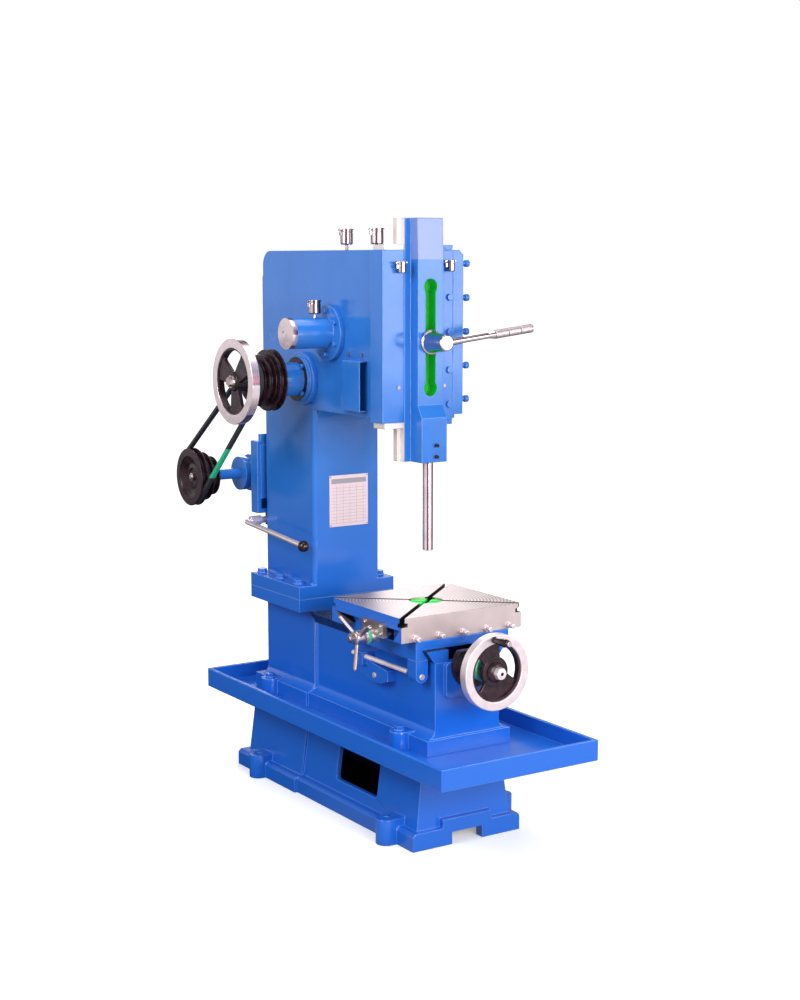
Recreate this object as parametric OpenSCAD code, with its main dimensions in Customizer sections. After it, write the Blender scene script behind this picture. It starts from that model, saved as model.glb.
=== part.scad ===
// Slotting machine: base with chip tray, bed and column, vertical ram, cross-slide table,
// three-step belt drive and a motor on a swinging plate.
// X points to the operator's right, -Y to the operator, Z up.
// The origin lies on the floor at the centre of the four foundation bolts.

/* [Foundation] */
// Distance between foundation bolts across the machine
foundation_dx = 380; // [360:2:400]
// Distance between foundation bolts along the machine
foundation_dy = 700; // [660:5:730]
// Radius of a foundation bolt hole
foundation_hole_r = 9; // [6:0.5:11]
// Radius of the round lugs that take the foundation bolts
foundation_lug_r = 27; // [22:1:30]
// Height of the foundation lugs
foundation_lug_h = 70; // [50:2:76]

/* [Base] */
// Height of the base casting
base_h = 238; // [226:2:260]
// Half width of the plinth at the floor
plinth_half_w = 173; // [166:1:180]
// Height of the plinth
plinth_h = 40; // [30:1:44]
// Front end of the plinth
plinth_front_y = -454; // [-470:1:-448]
// Rear end of the plinth
plinth_rear_y = 495; // [490:1:520]
// Half width of the base wall above the plinth
base_foot_half_w = 150; // [140:1:156]
// Half width of the base wall under the tray
base_top_half_w = 124; // [112:1:136]
// Wall thickness of the base casting
base_wall = 14; // [10:1:18]
// Rear part of the castings stands out by this step
pilaster_step = 8; // [4:1:12]
// Place along the machine where the rear part begins
pilaster_y = 150; // [120:2:180]
// Length of the window to the coolant space
window_len = 211; // [150:2:240]
// Middle of that window along the machine
window_y = -128; // [-150:2:-100]

/* [Chip tray] */
// Width of the chip tray
tray_w = 493; // [470:1:540]
// Front end of the chip tray
tray_front_y = -690; // [-730:2:-660]
// Rear end of the chip tray
tray_rear_y = 564; // [540:2:620]
// Height of the tray rim
tray_h = 56; // [44:1:80]
// Width of the tray rim
tray_rim = 12; // [8:1:16]
// Thickness of the tray floor
tray_floor = 12; // [8:1:16]

/* [Bed] */
// Half width of the bed
bed_half_w = 102; // [96:1:104]
// Front face of the bed
bed_front_y = -450; // [-456:1:-446]
// Height of the way surface above the floor
way_top_z = 525; // [515:1:535]
// Height of the dovetail ways
way_h = 32; // [26:1:36]
// Half width over the tops of the ways
way_top_half_w = 128.4; // [126:0.2:132]
// Half width between the ways
way_inner_half_w = 60; // [50:1:70]
// Height of the bed foot flange
bed_foot_h = 42; // [28:1:44]
// Rear face of the bed block
bed_rear_y = 425; // [410:1:432]

/* [Column] */
// Half width of the column and the head
column_half_w = 110; // [104:1:112]
// Front face of the column
column_front_y = 150; // [140:1:160]
// Rear face of the column and the head
column_rear_y = 435; // [428:1:437]
// Wall thickness of the column casting
column_wall = 14; // [10:1:18]
// Half width of the column flange
flange_half_w = 160; // [152:1:170]
// Height of the joint between bed and column
flange_joint_z = 564.4; // [560:0.2:568]
// Thickness of each of the two flanges
flange_t = 36.7; // [30:0.1:40]
// Underside of the head
head_bottom_z = 1105; // [1090:1:1110]
// Top of the head
head_top_z = 1548.7; // [1530:0.1:1570]
// Radius of the rear top corner of the head
head_corner_r = 42; // [10:1:60]

/* [Slideway and ram] */
// Half width of the slideway casting
slide_half_w = 128; // [124:1:134]
// Depth of the slideway casting
slide_depth = 60; // [58:0.5:64]
// Machined lower end of the slideway stands out by this much
slide_lip = 16; // [8:1:24]
// Machined upper end of the slideway stands out by this much
slide_top_lip = 13.3; // [8:0.1:13.5]
// Half width of the ram between the slideway lips
ram_neck_half_w = 60; // [56:1:62]
// Half width of the ram wings
ram_wing_half_w = 70; // [66:1:74]
// Half width of the ram front
ram_face_half_w = 40; // [34:1:46]
// Bottom of the ram, ram at mid stroke
ram_bottom_z = 992; // [980:1:1000]
// Top of the ram
ram_top_z = 1631; // [1620:1:1650]
// Upper front of the ram stands out from the slideway
ram_face_out = 34.5; // [32:0.5:38]
// Lower front of the ram stands out from the slideway
ram_foot_out = 53; // [46:0.5:54]
// Height where the lower front of the ram begins to step back
ram_step_low_z = 1110; // [1090:1:1130]
// Height where the step at the front of the ram ends
ram_step_high_z = 1143; // [1135:1:1160]
// Height where the ram front leans out again
ram_crown_z = 1524; // [1500:1:1560]
// Half width of the slot in the ram
slot_half_w = 16; // [13:0.5:18]
// Radius of the round slot ends
slot_end_r = 21; // [19:0.5:24]
// Stroke of the ram
ram_stroke = 150; // [100:2:150]
// Diameter of the tool bar
tool_bar_d = 28; // [20:0.5:32]
// Length of the tool bar below the ram
tool_bar_out = 239; // [150:1:260]
// Length of the tool bar inside the ram
tool_bar_in = 118; // [80:1:125]

/* [Stroke clamp] */
// Height of the clamp axis
clamp_z = 1309; // [1300:1:1320]
// Radius of the clamp washer
clamp_washer_r = 32.5; // [26:0.5:33]
// Length of the clamp cone in front of the ram
clamp_len = 76; // [60:1:90]
// Length of the clamp lever
clamp_lever_len = 284; // [200:2:320]
// Rise of the clamp lever
clamp_lever_angle = 6.6; // [0:0.2:15]
// Radius of the clamp lever beside the hub
clamp_lever_r = 8; // [6:0.5:9]
// Radius of the clamp lever grip
clamp_grip_r = 12; // [10:0.5:13]

/* [Table and saddle] */
// Width of the table
table_w = 383.4; // [360:0.2:400]
// Front face of the table
table_front_y = -427; // [-436:1:-424]
// Rear face of the table
table_rear_y = -84.5; // [-110:0.5:-70]
// Thickness of the table
table_t = 64.8; // [60:0.2:72]
// Depth of the dovetail groove under the table
groove_h = 32; // [28:0.5:34]
// Width of the T-slot throat
tslot_w = 14; // [10:0.5:18]
// Width of the T-slot foot
tslot_foot_w = 26; // [20:0.5:30]
// Depth of the T-slot
tslot_depth = 24; // [18:0.5:26]
// Radius of the painted recess in the table
recess_r = 45; // [35:1:55]
// Half width of the saddle
saddle_half_w = 148; // [144:1:152]
// Front face of the saddle
saddle_front_y = -430; // [-436:1:-426]
// Rear face of the saddle
saddle_rear_y = -100; // [-120:1:-95]
// Thickness of the saddle plate
saddle_t = 25.5; // [22:0.1:30]
// Bottom of the saddle skirts
saddle_skirt_z = 500; // [496:1:506]

/* [Feeds] */
// Height of the long feed screw
feed_z = 481.8; // [474:0.2:486]
// Radius of the long feed screw
feed_screw_r = 11; // [8:0.5:13]
// Outer radius of the front handwheel
handwheel_r = 100; // [90:1:110]
// Front face of the handwheel rim
handwheel_face_y = -582; // [-590:1:-576]
// Radius inside the handwheel rim
handwheel_inner_r = 74; // [68:1:80]
// Place of the cross feed screw along the machine
cross_y = -309; // [-316:1:-300]
// Height of the cross feed screw
cross_z = 553; // [551:0.5:555]
// Radius of the cross feed screw
cross_screw_r = 9; // [6:0.5:10]
// Length of a star handle arm from the axis
star_arm_len = 88; // [70:1:92]
// Radius of the cross feed dial
cross_dial_r = 20.5; // [18:0.5:24]
// Radius of the stop rod beside the bed
stop_rod_r = 6.5; // [5:0.5:7]
// Radius of the feed screw bearing flange
bearing_r = 60; // [44:1:62]

/* [Drive] */
// Tooth module of the gears
gear_module = 4; // [3.5:0.05:4.1]
// Teeth of the pinion
pinion_teeth = 20; // [20:1:20]
// Teeth of the bull gear
bull_teeth = 80; // [80:1:80]
// Place of the drive shaft along the machine
drive_y = 198; // [190:1:206]
// Height of the drive shaft
drive_z = 1190; // [1184:1:1196]
// Place of the crankshaft along the machine
crank_y = 50; // [44:1:56]
// Throw of the crank pin
crank_throw = 43; // [30:1:43]
// Radius of the drive shaft
drive_shaft_r = 17.5; // [14:0.5:18]
// Outer radius of the largest pulley step
pulley_big_r = 86; // [80:1:90]
// Change of radius from one pulley step to the next
pulley_step = 14; // [8:1:18]
// Width of one pulley step
pulley_step_w = 26; // [24:0.5:28]
// Outer end of both pulleys
pulley_end_x = -288; // [-292:1:-286]
// Outer radius of the flywheel
flywheel_r = 119; // [110:1:124]
// Outer face of the flywheel
flywheel_face_x = -340; // [-350:1:-336]

/* [Motor] */
// Place of the motor axis along the machine
motor_y = 585; // [580:1:592]
// Height of the motor axis
motor_z = 880; // [872:1:888]
// Radius of the motor body
motor_r = 56; // [50:1:60]
// Radius of the round cap at the shaft end of the motor
motor_disc_r = 51; // [44:1:54]
// Radius of the motor shaft
motor_shaft_r = 16; // [12:0.5:18]
// Height of the plate hinge
hinge_z = 752; // [746:1:756]
// Reach of the tension lever
tension_len = 346; // [280:2:360]
// Radius of the tension lever rod
tension_rod_r = 7.5; // [5:0.5:9]
// Radius of the ball knob
ball_r = 16.5; // [12:0.5:20]

/* [Clearances] */
// Clearance of a sliding pair
slide_gap = 0.3; // [0.2:0.05:0.5]
// Radial clearance of a running shaft
run_gap = 0.08; // [0.04:0.01:0.1]

/* [Hidden] */
$fn = 48;
eps = 0.02;

// Places worked out from the driving sizes
tray_top_z = base_h + tray_h;
floor_z = base_h + tray_floor;
foot_top_z = floor_z + bed_foot_h;
way_bottom_z = way_top_z - way_h;
way_slope = 0.731;
way_foot_half_w = way_top_half_w - way_h * way_slope;
flange_top_z = flange_joint_z + flange_t;
flange_bottom_z = flange_joint_z - flange_t;
flange_rear_y = column_rear_y + 4;
foot_half_w = bed_half_w + 30;
foot_front_y = bed_front_y - 10;
foot_rear_y = bed_rear_y + 25;
bed_block_half_w = bed_half_w + 10;
slide_back_y = -181;
slide_front_y = slide_back_y - slide_depth;
slide_bottom_z = head_bottom_z - 8;
pocket_back_y = slide_back_y - 21.7;
wing_back_y = pocket_back_y - slide_gap;
wing_front_y = wing_back_y - 18.4;
lip_back_y = wing_front_y - slide_gap;
cheek_x = slide_half_w - 33;
ram_face_y = slide_front_y - ram_face_out;
ram_foot_y = slide_front_y - ram_foot_out;
channel_front_y = lip_back_y - 14.3;
tool_y = ram_foot_y + 30.5;
tool_bar_r = tool_bar_d / 2;
tool_shank_r = tool_bar_r - 0.5;
tool_shoulder_z = ram_bottom_z - 3;
slot_top_z = 1453;
slot_low_z = 1187;
block_half_h = 45;
block_half_w = 30.5;
channel_low_z = 1030;
channel_top_z = 1607;
strip_low_z = 1096;
strip_top_z = 1544;
rocker_y = 380;
rocker_half_w = 18;
rocker_slot_half_h = ram_stroke / 2 + 42;
bull_r = gear_module * bull_teeth / 2;
pinion_r = gear_module * pinion_teeth / 2;
shaft_distance = bull_r + pinion_r;
crank_z = drive_z + sqrt(shaft_distance * shaft_distance
  - (drive_y - crank_y) * (drive_y - crank_y));
gear_x = -70;
gear_w = 30;
crank_shaft_r = 22;
housing_r = 42;
housing_flange_r = 76;
housing_flange_t = 16;
pulley_mid_r = pulley_big_r - pulley_step;
pulley_small_r = pulley_mid_r - pulley_step;
pulley_inner_x = pulley_end_x + 3 * pulley_step_w;
belt_x = pulley_end_x + pulley_step_w / 2;
belt_w = 13;
belt_sink = 2;
belt_h = 11;
hinge_y = 460;
plate_front_y = column_rear_y + 12;
plate_rear_y = plate_front_y + 40;
plate_half_w = 130;
plate_bottom_z = 774;
plate_top_z = 990;
table_bottom_z = way_top_z + slide_gap + saddle_t;
table_top_z = table_bottom_z + table_t;
table_mid_y = (table_front_y + table_rear_y) / 2;
groove_top_z = table_bottom_z + groove_h;
groove_front_y = table_front_y + 39;
groove_rear_y = table_front_y + 292;
groove_slope = 0.97;
gib_t = 8.4;
handwheel_depth = 26;
handwheel_hub_len = 47.5;
bearing_front_y = bed_front_y - 32;
cup_r = 17;
cup_foot_r = 4.5;
cup_h = 34;
top_cup_h = 39;
top_cup_foot = 14;
boss_cup_foot = 13;
boss_cup_seat = 3;
small_cup_r = 11.5;
small_cup_h = 26;
lid_gap = 0.3;

blue = "#2F6FD0";
front_blue = "#4F86E8";
steel = "#C9C6C2";
polished = "#DAD6D0";
dark = "#1C1719";
oily = "#3A3F46";
green = "#12A32B";
dial_green = "#1FBF7A";

// Shape helpers
module box(lo, hi) {
  translate(lo) cube(hi - lo);
}

module bar_x(x0, x1, y, z, r) {
  translate([x0, y, z]) rotate([0, 90, 0]) cylinder(r = r, h = x1 - x0);
}

module bar_y(y0, y1, x, z, r) {
  translate([x, y1, z]) rotate([90, 0, 0]) cylinder(r = r, h = y1 - y0);
}

module bar_z(z0, z1, x, y, r) {
  translate([x, y, z0]) cylinder(r = r, h = z1 - z0);
}

// Profile drawn in Y and Z, extruded along X
module prism_x(x0, x1) {
  translate([x0, 0, 0]) rotate([90, 0, 90]) linear_extrude(x1 - x0) children();
}

// Profile drawn in X and Z, extruded along Y
module prism_y(y0, y1) {
  translate([0, y1, 0]) rotate([90, 0, 0]) linear_extrude(y1 - y0) children();
}

module rounded_rect(lo, hi, r) {
  translate([lo[0] + r, lo[1]]) square([hi[0] - lo[0] - 2 * r, hi[1] - lo[1]]);
  translate([lo[0], lo[1] + r]) square([hi[0] - lo[0], hi[1] - lo[1] - 2 * r]);
  for (x = [lo[0] + r, hi[0] - r], y = [lo[1] + r, hi[1] - r]) {
    translate([x, y]) circle(r = r);
  }
}

// Concave corner fillet in two dimensions, corner at the origin, filling +X and +Y
module cove(r) {
  difference() {
    translate([-1, -1]) square(r + 1);
    translate([r, r]) circle(r = r);
  }
}

module mirrored() {
  children();
  mirror([1, 0, 0]) children();
}

module hex_head(af, h) {
  cylinder(d = af / cos(30), h = h, $fn = 6);
}

// Base casting
module base_wall_profile(inset, foot_z, top_z) {
  low = base_foot_half_w - inset;
  high = base_top_half_w - inset;
  polygon([[-low, foot_z], [low, foot_z], [low, plinth_h + 6], [high, top_z],
    [-high, top_z], [-low, plinth_h + 6]]);
}

module base_side_profile(inset, foot_z, top_z) {
  polygon([[plinth_front_y + 14 + inset, foot_z], [plinth_rear_y - 16 - inset, foot_z],
    [plinth_rear_y - 30 - inset, top_z], [plinth_front_y + 29 + inset, top_z]]);
}

module base_body(inset, foot_z, top_z) {
  intersection() {
    prism_y(plinth_front_y, plinth_rear_y) base_wall_profile(inset, foot_z, top_z);
    prism_x(-300, 300) base_side_profile(inset, foot_z, top_z);
  }
}

module plinth_block(half_w, y0, y1) {
  prism_y(y0, y1)
    polygon([[-half_w, 0], [half_w, 0], [half_w, plinth_h], [half_w - 8, plinth_h + 8],
      [8 - half_w, plinth_h + 8], [-half_w, plinth_h]]);
}

module foundation_lug() {
  x = foundation_dx / 2;
  for (side_y = [-foundation_dy / 2, foundation_dy / 2]) {
    bar_z(0, foundation_lug_h, x, side_y, foundation_lug_r);
    box([base_foot_half_w - 22, side_y - foundation_lug_r, 0],
      [x, side_y + foundation_lug_r, foundation_lug_h]);
  }
}

module base_window() {
  prism_x(-250, -base_top_half_w + base_wall + 4)
    rounded_rect([window_y - window_len / 2, 82], [window_y + window_len / 2, 190], 12);
}

module base_casting() {
  color(blue) difference() {
    union() {
      base_body(0, 1, base_h);
      intersection() {
        prism_y(pilaster_y, plinth_rear_y - 30)
          base_wall_profile(-pilaster_step, 1, base_h);
        prism_x(-300, 300) base_side_profile(0, 1, base_h);
      }
      plinth_block(plinth_half_w, plinth_front_y, pilaster_y);
      plinth_block(plinth_half_w + pilaster_step, pilaster_y, plinth_rear_y);
      box([-78, plinth_front_y, 0], [78, plinth_front_y + 40, 71]);
      mirrored() foundation_lug();
    }
    base_body(base_wall, -1, base_h - base_wall);
    base_window();
    for (y = [plinth_front_y - 1, plinth_rear_y - 60]) {
      box([-48, y, -1], [48, y + 61, 33]);
    }
    for (x = [-1, 1], y = [-1, 1]) {
      bar_z(-1, foundation_lug_h + 1, x * foundation_dx / 2, y * foundation_dy / 2,
        foundation_hole_r);
    }
  }
}

// Chip tray
module chip_tray() {
  color(blue) difference() {
    box([-tray_w / 2, tray_front_y, base_h], [tray_w / 2, tray_rear_y, tray_top_z]);
    box([-tray_w / 2 + tray_rim, tray_front_y + tray_rim, floor_z],
      [tray_w / 2 - tray_rim, tray_rear_y - tray_rim, tray_top_z + 1]);
  }
}

// Bed casting with its foot flange, block and column seat
bed_lug_front_x = foot_half_w + 12;
bed_lug_rear_x = foot_half_w + pilaster_step + 10;
bed_lug_front_y = -345;
bed_lug_rear_y = 345;
bed_lug_r = 26;
bed_lug_top_z = floor_z + 48;
bolt_shank_r = 7;

module bed_lug(x, y) {
  bar_z(floor_z, bed_lug_top_z, x, y, bed_lug_r);
  box([bed_half_w, y - bed_lug_r, floor_z], [x, y + bed_lug_r, bed_lug_top_z]);
}

module bed_boss() {
  prism_y(bed_front_y - 12, bed_front_y + 1)
    rounded_rect([-75, feed_z - 84], [75, way_bottom_z], 12);
}

module bed_casting() {
  block_top_z = flange_bottom_z + 1;
  color(blue) difference() {
    union() {
      box([-foot_half_w, foot_front_y, floor_z], [foot_half_w, pilaster_y, foot_top_z]);
      box([-foot_half_w - pilaster_step, pilaster_y, floor_z],
        [foot_half_w + pilaster_step, foot_rear_y, foot_top_z]);
      box([-bed_half_w, bed_front_y, foot_top_z - 1], [bed_half_w, pilaster_y, way_bottom_z]);
      box([-bed_block_half_w, pilaster_y, foot_top_z - 1],
        [bed_block_half_w, bed_rear_y, block_top_z]);
      box([-flange_half_w, column_front_y, flange_bottom_z],
        [flange_half_w, flange_rear_y, flange_joint_z]);
      mirrored() {
        translate([bed_half_w, 0, foot_top_z]) prism_y(bed_front_y, pilaster_y) cove(24);
        translate([bed_block_half_w, 0, foot_top_z]) prism_y(pilaster_y, bed_rear_y) cove(24);
        translate([bed_half_w, pilaster_y, foot_top_z]) mirror([0, 1, 0])
          linear_extrude(way_bottom_z - foot_top_z) cove(10);
        bed_lug(bed_lug_front_x, bed_lug_front_y);
        bed_lug(bed_lug_rear_x, bed_lug_rear_y);
      }
      bed_boss();
    }
    // hollow under the bed and the block
    box([16 - bed_half_w, bed_front_y + 16, floor_z - 1], [bed_half_w - 16, pilaster_y, 424]);
    box([18 - bed_block_half_w, pilaster_y - 1, floor_z - 1],
      [bed_block_half_w - 18, bed_rear_y - 18, flange_bottom_z - 18]);
    // trough for the long feed screw
    box([-way_inner_half_w, bed_front_y + 20, 442],
      [way_inner_half_w, pilaster_y - 10, way_bottom_z + 1]);
    bar_y(bed_front_y - 20, bed_front_y + 40, 0, feed_z, 20 + run_gap);
    mirrored() {
      bar_z(floor_z - 1, bed_lug_top_z + 1, bed_lug_front_x, bed_lug_front_y, bolt_shank_r);
      bar_z(floor_z - 1, bed_lug_top_z + 1, bed_lug_rear_x, bed_lug_rear_y, bolt_shank_r);
      for (y = column_bolt_ys) {
        bar_z(flange_bottom_z - 1, flange_joint_z + 1, column_bolt_x, y, bolt_shank_r);
      }
    }
  }
}

// Two machined dovetail ways on the bed
module way_profile() {
  polygon([[way_inner_half_w, way_bottom_z], [way_foot_half_w, way_bottom_z],
    [way_top_half_w, way_top_z], [way_inner_half_w, way_top_z]]);
}

module bed_ways() {
  color(oily) mirrored() prism_y(bed_front_y, column_front_y - eps) way_profile();
}

module foot_bolts() {
  color(blue) mirrored() {
    for (place = [[bed_lug_front_x, bed_lug_front_y], [bed_lug_rear_x, bed_lug_rear_y]]) {
      translate([place[0], place[1], bed_lug_top_z]) hex_head(24, 13);
      bar_z(floor_z, bed_lug_top_z + eps, place[0], place[1], bolt_shank_r);
    }
  }
}

// Ears on the column that carry the hinge shaft of the motor plate
hinge_ear_x = 60;
lever_shaft_r = 10;

module hinge_ears() {
  mirrored() {
    box([hinge_ear_x, column_rear_y - 1, hinge_z - 30],
      [hinge_ear_x + 36, column_rear_y + 8, hinge_z + 50]);
    box([hinge_ear_x + 8, column_rear_y + 7, hinge_z - 18],
      [hinge_ear_x + 28, hinge_y + 18, hinge_z + 18]);
  }
}

// Column with the head housing
column_bolt_x = 137;
column_bolt_ys = [195, 302, 410];
head_pivot_boss_r = 32;
front_slot_half_w = 27;

module column_outline(inset) {
  rounded_rect([inset - column_half_w, column_front_y + inset],
    [column_half_w - inset, column_rear_y - inset], 12);
}

module head_profile(inset) {
  r = head_corner_r - inset;
  front = slide_back_y + inset;
  rear = column_rear_y - inset;
  low = head_bottom_z + inset;
  high = head_top_z - inset;
  polygon([[front, low], [rear, low], [rear, high - r], [rear - r, high], [front, high]]);
  translate([rear - r, high - r]) circle(r = r);
}

module column_casting() {
  color(blue) difference() {
    union() {
      box([-flange_half_w, column_front_y, flange_joint_z + eps],
        [flange_half_w, flange_rear_y, flange_top_z]);
      translate([0, 0, flange_joint_z + eps])
        linear_extrude(head_bottom_z - flange_joint_z + 20) column_outline(0);
      prism_x(-column_half_w, column_half_w) head_profile(0);
      // fillet between column and head
      translate([0, column_front_y, head_bottom_z]) mirror([0, 1, 0]) mirror([0, 0, 1])
        prism_x(12 - column_half_w, column_half_w - 12) cove(38);
      mirrored() translate([column_half_w, 0, flange_top_z])
        prism_y(column_front_y + 12, column_rear_y - 12) cove(8);
      hinge_ears();
    }
    // inside of the column and of the head
    translate([0, 0, flange_joint_z - 1])
      linear_extrude(head_bottom_z - flange_joint_z + 40) column_outline(column_wall);
    difference() {
      prism_x(column_wall - column_half_w, column_half_w - column_wall)
        head_profile(column_wall);
      for (side = [-1, 1]) {
        bar_x(side > 0 ? rocker_half_w + 12 : -column_half_w,
          side > 0 ? column_half_w : -rocker_half_w - 12, rocker_y, clamp_z,
          head_pivot_boss_r);
      }
    }
    bar_x(1 - column_half_w, column_half_w - 1, rocker_y, clamp_z, 16);
    // openings for the housings, the shaft end, the rocker nose and the rear cover
    bar_x(-column_half_w - 1, 0, crank_y, crank_z, 56);
    bar_x(-column_half_w - 1, 0, drive_y, drive_z, 48);
    bar_x(0, column_half_w + 1, drive_y, drive_z, drive_shaft_r + run_gap);
    box([-front_slot_half_w, slide_back_y - 1, clamp_z - rocker_slot_half_h],
      [front_slot_half_w, slide_back_y + column_wall + 1, clamp_z + rocker_slot_half_h]);
    box([-78, column_rear_y - column_wall - 1, 1175], [78, column_rear_y + 1, 1455]);
    mirrored() for (y = column_bolt_ys) {
      bar_z(flange_joint_z - 1, flange_top_z + 1, column_bolt_x, y, bolt_shank_r);
    }
    bar_x(-hinge_ear_x - 40, hinge_ear_x + 40, hinge_y, hinge_z, lever_shaft_r + run_gap);
  }
}

module column_bolts() {
  color(blue) mirrored() for (y = column_bolt_ys) {
    translate([column_bolt_x, y, flange_top_z]) hex_head(24, 14);
    bar_z(flange_bottom_z + 4, flange_top_z + eps, column_bolt_x, y, bolt_shank_r);
  }
}

rear_cover_half_w = 98;
rear_cover_low_z = 1155;
rear_cover_top_z = 1480;

module rear_cover_outline(inset) {
  rounded_rect([inset - rear_cover_half_w, rear_cover_low_z + inset],
    [rear_cover_half_w - inset, rear_cover_top_z - inset], 8 - inset / 4);
}

module rear_cover() {
  color(blue) difference() {
    prism_y(column_rear_y, column_rear_y + 26) rear_cover_outline(0);
    prism_y(column_rear_y - 1, column_rear_y + 22) rear_cover_outline(8);
  }
}

// Sheet cover on the left of the head, open to the front
module side_cover_outline(inset) {
  polygon([[-column_half_w, -1 - inset * 2], [-column_half_w - 26 + inset, -52 - inset],
    [-column_half_w - 26 + inset, -138 - inset * 8], [-column_half_w, -138 - inset * 8]]);
}

side_cover_low_z = 1120;
side_cover_h = 135;
side_cover_wall = 3;

module side_cover() {
  color(blue) difference() {
    translate([0, 0, side_cover_low_z]) linear_extrude(side_cover_h) side_cover_outline(0);
    translate([0, 0, side_cover_low_z + side_cover_wall])
      linear_extrude(side_cover_h - 2 * side_cover_wall) side_cover_outline(side_cover_wall);
  }
}

module data_plate() {
  color(polished) box([-59, column_front_y - 1.5, 765], [70, column_front_y, 913]);
}

// Small round-headed screws of the data plate, the side cover and the slideway
module small_screws() {
  color(steel) {
    for (x = [-55, 66], z = [769, 909]) bar_y(column_front_y - 3, column_front_y - 1.5, x, z, 2.2);
    for (y = [-112, -45]) {
      bar_x(-column_half_w - 4, -column_half_w, y, 1270, 5);
    }
    for (x = [-79, 67]) bar_y(slide_front_y - 3, slide_front_y, x, 1190, 4.5);
  }
}

// Slideway casting in front of the head
module slide_pocket(z0, z1) {
  box([-ram_neck_half_w - slide_gap, slide_front_y - 1, z0], [cheek_x, lip_back_y + 1, z1]);
  box([-ram_wing_half_w - slide_gap, lip_back_y, z0], [cheek_x, pocket_back_y, z1]);
}

module slideway() {
  z0 = slide_bottom_z;
  z1 = head_top_z;
  color(front_blue) difference() {
    union() {
      box([-slide_half_w, slide_front_y, z0], [slide_half_w, slide_back_y, z1]);
      box([8 - slide_half_w, slide_front_y + 3, z0 - slide_lip],
        [slide_half_w - 8, slide_back_y - 3, z1 + slide_top_lip]);
    }
    slide_pocket(z0 - slide_lip - 1, z1 + slide_top_lip + 1);
    box([-front_slot_half_w, pocket_back_y - 1, clamp_z - rocker_slot_half_h],
      [front_slot_half_w, slide_back_y + 1, clamp_z + rocker_slot_half_h]);
    // stepped lower right corner and chamfered upper right corner
    box([cheek_x - 1, slide_front_y - 1, z0 - slide_lip - 1],
      [slide_half_w + 1, slide_back_y - 22, z0 + 14]);
    translate([slide_half_w, 0, z1]) rotate([0, 45, 0])
      box([-9, slide_front_y - 1, -9], [9, slide_back_y + 1, 9]);
    box([cheek_x - 1, slide_front_y - 1, z1], [slide_half_w, slide_back_y - 22, z1 + 30]);
    for (z = gib_screw_zs) bar_x(cheek_x - 1, slide_half_w + 1, gib_screw_y, z, 5);
  }
}

gib_screw_zs = [for (i = [0 : 4]) 1149 + i * 91];
gib_screw_y = (lip_back_y + pocket_back_y) / 2;
ram_gib_x = ram_wing_half_w + slide_gap;
ram_gib_t = 12;

module keeper_plate() {
  color(front_blue) box([ram_neck_half_w + slide_gap, slide_front_y, slide_bottom_z],
    [cheek_x, lip_back_y, head_top_z]);
}

module keeper_bolts() {
  color(blue) for (z = [1139, 1231, 1332, 1424]) {
    bar_y(slide_front_y - 6, slide_front_y, 84, z, 9.5);
  }
}

module ram_gib() {
  color(steel) box([ram_gib_x, lip_back_y + slide_gap, slide_bottom_z],
    [ram_gib_x + ram_gib_t, pocket_back_y - slide_gap, head_top_z]);
}

module gib_screws() {
  color(blue) for (z = gib_screw_zs) {
    bar_x(ram_gib_x + ram_gib_t, slide_half_w + 16, gib_screw_y, z, 5);
    translate([slide_half_w, gib_screw_y, z]) rotate([0, 90, 0]) hex_head(15, 6);
    bar_x(slide_half_w + 15, slide_half_w + 28, gib_screw_y, z, 9.5);
  }
}

// Bearing housings on the left of the head
module crank_housing() {
  color(blue) difference() {
    union() {
      bar_x(-column_half_w - housing_flange_t, -column_half_w, crank_y, crank_z,
        housing_flange_r);
      bar_x(-column_half_w - 128, -column_half_w - housing_flange_t + 1, crank_y, crank_z,
        housing_r);
      bar_x(-column_half_w - eps, column_wall - column_half_w, crank_y, crank_z, 56);
    }
    bar_x(-column_half_w - 130, 0, crank_y, crank_z, crank_shaft_r + run_gap);
    // seat of the oil cup
    bar_z(cup_boss[2], cup_boss[2] + 10, cup_boss[0], cup_boss[1], cup_foot_r);
  }
}

module crank_cap() {
  color(polished) difference() {
    bar_x(-column_half_w - 143, -column_half_w - 128, crank_y, crank_z, housing_r + 0.5);
    bar_x(-column_half_w - 144, -column_half_w - 139, crank_y + 14, crank_z + 4, 3);
  }
}

module drive_housing() {
  color(blue) difference() {
    union() {
      bar_x(-column_half_w - housing_flange_t, -column_half_w, drive_y, drive_z,
        housing_flange_r);
      bar_x(-column_half_w - 26, -column_half_w - housing_flange_t + 1, drive_y, drive_z,
        housing_flange_r - 12);
      bar_x(pulley_inner_x + 5, -column_half_w - 25, drive_y, drive_z, 47);
      bar_x(-column_half_w - eps, column_wall - column_half_w, drive_y, drive_z, 48);
    }
    bar_x(-250, 0, drive_y, drive_z, drive_shaft_r + run_gap);
  }
}

// Six round heads on each housing flange
module housing_bolts() {
  x = -column_half_w - housing_flange_t;
  color(blue) {
    for (i = [0 : 5]) {
      a = 30 + i * 60;
      bar_x(x - 9, x, crank_y + 59 * cos(a), crank_z + 59 * sin(a), 6.5);
    }
    for (i = [0 : 3]) {
      a = 45 + i * 90;
      bar_x(x - 19, x - 10, drive_y + 54 * cos(a), drive_z + 54 * sin(a), 6);
    }
  }
}

// Round cover over the right end of the drive shaft
module shaft_cover() {
  color(blue) difference() {
    bar_x(column_half_w, column_half_w + 14, drive_y, drive_z, 42);
    bar_x(column_half_w - 1, column_half_w + 8, drive_y, drive_z, 24);
  }
}

module pivot_pin() {
  color(steel) bar_x(2 - column_half_w, column_half_w - 2, rocker_y, clamp_z, 16);
}

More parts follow.
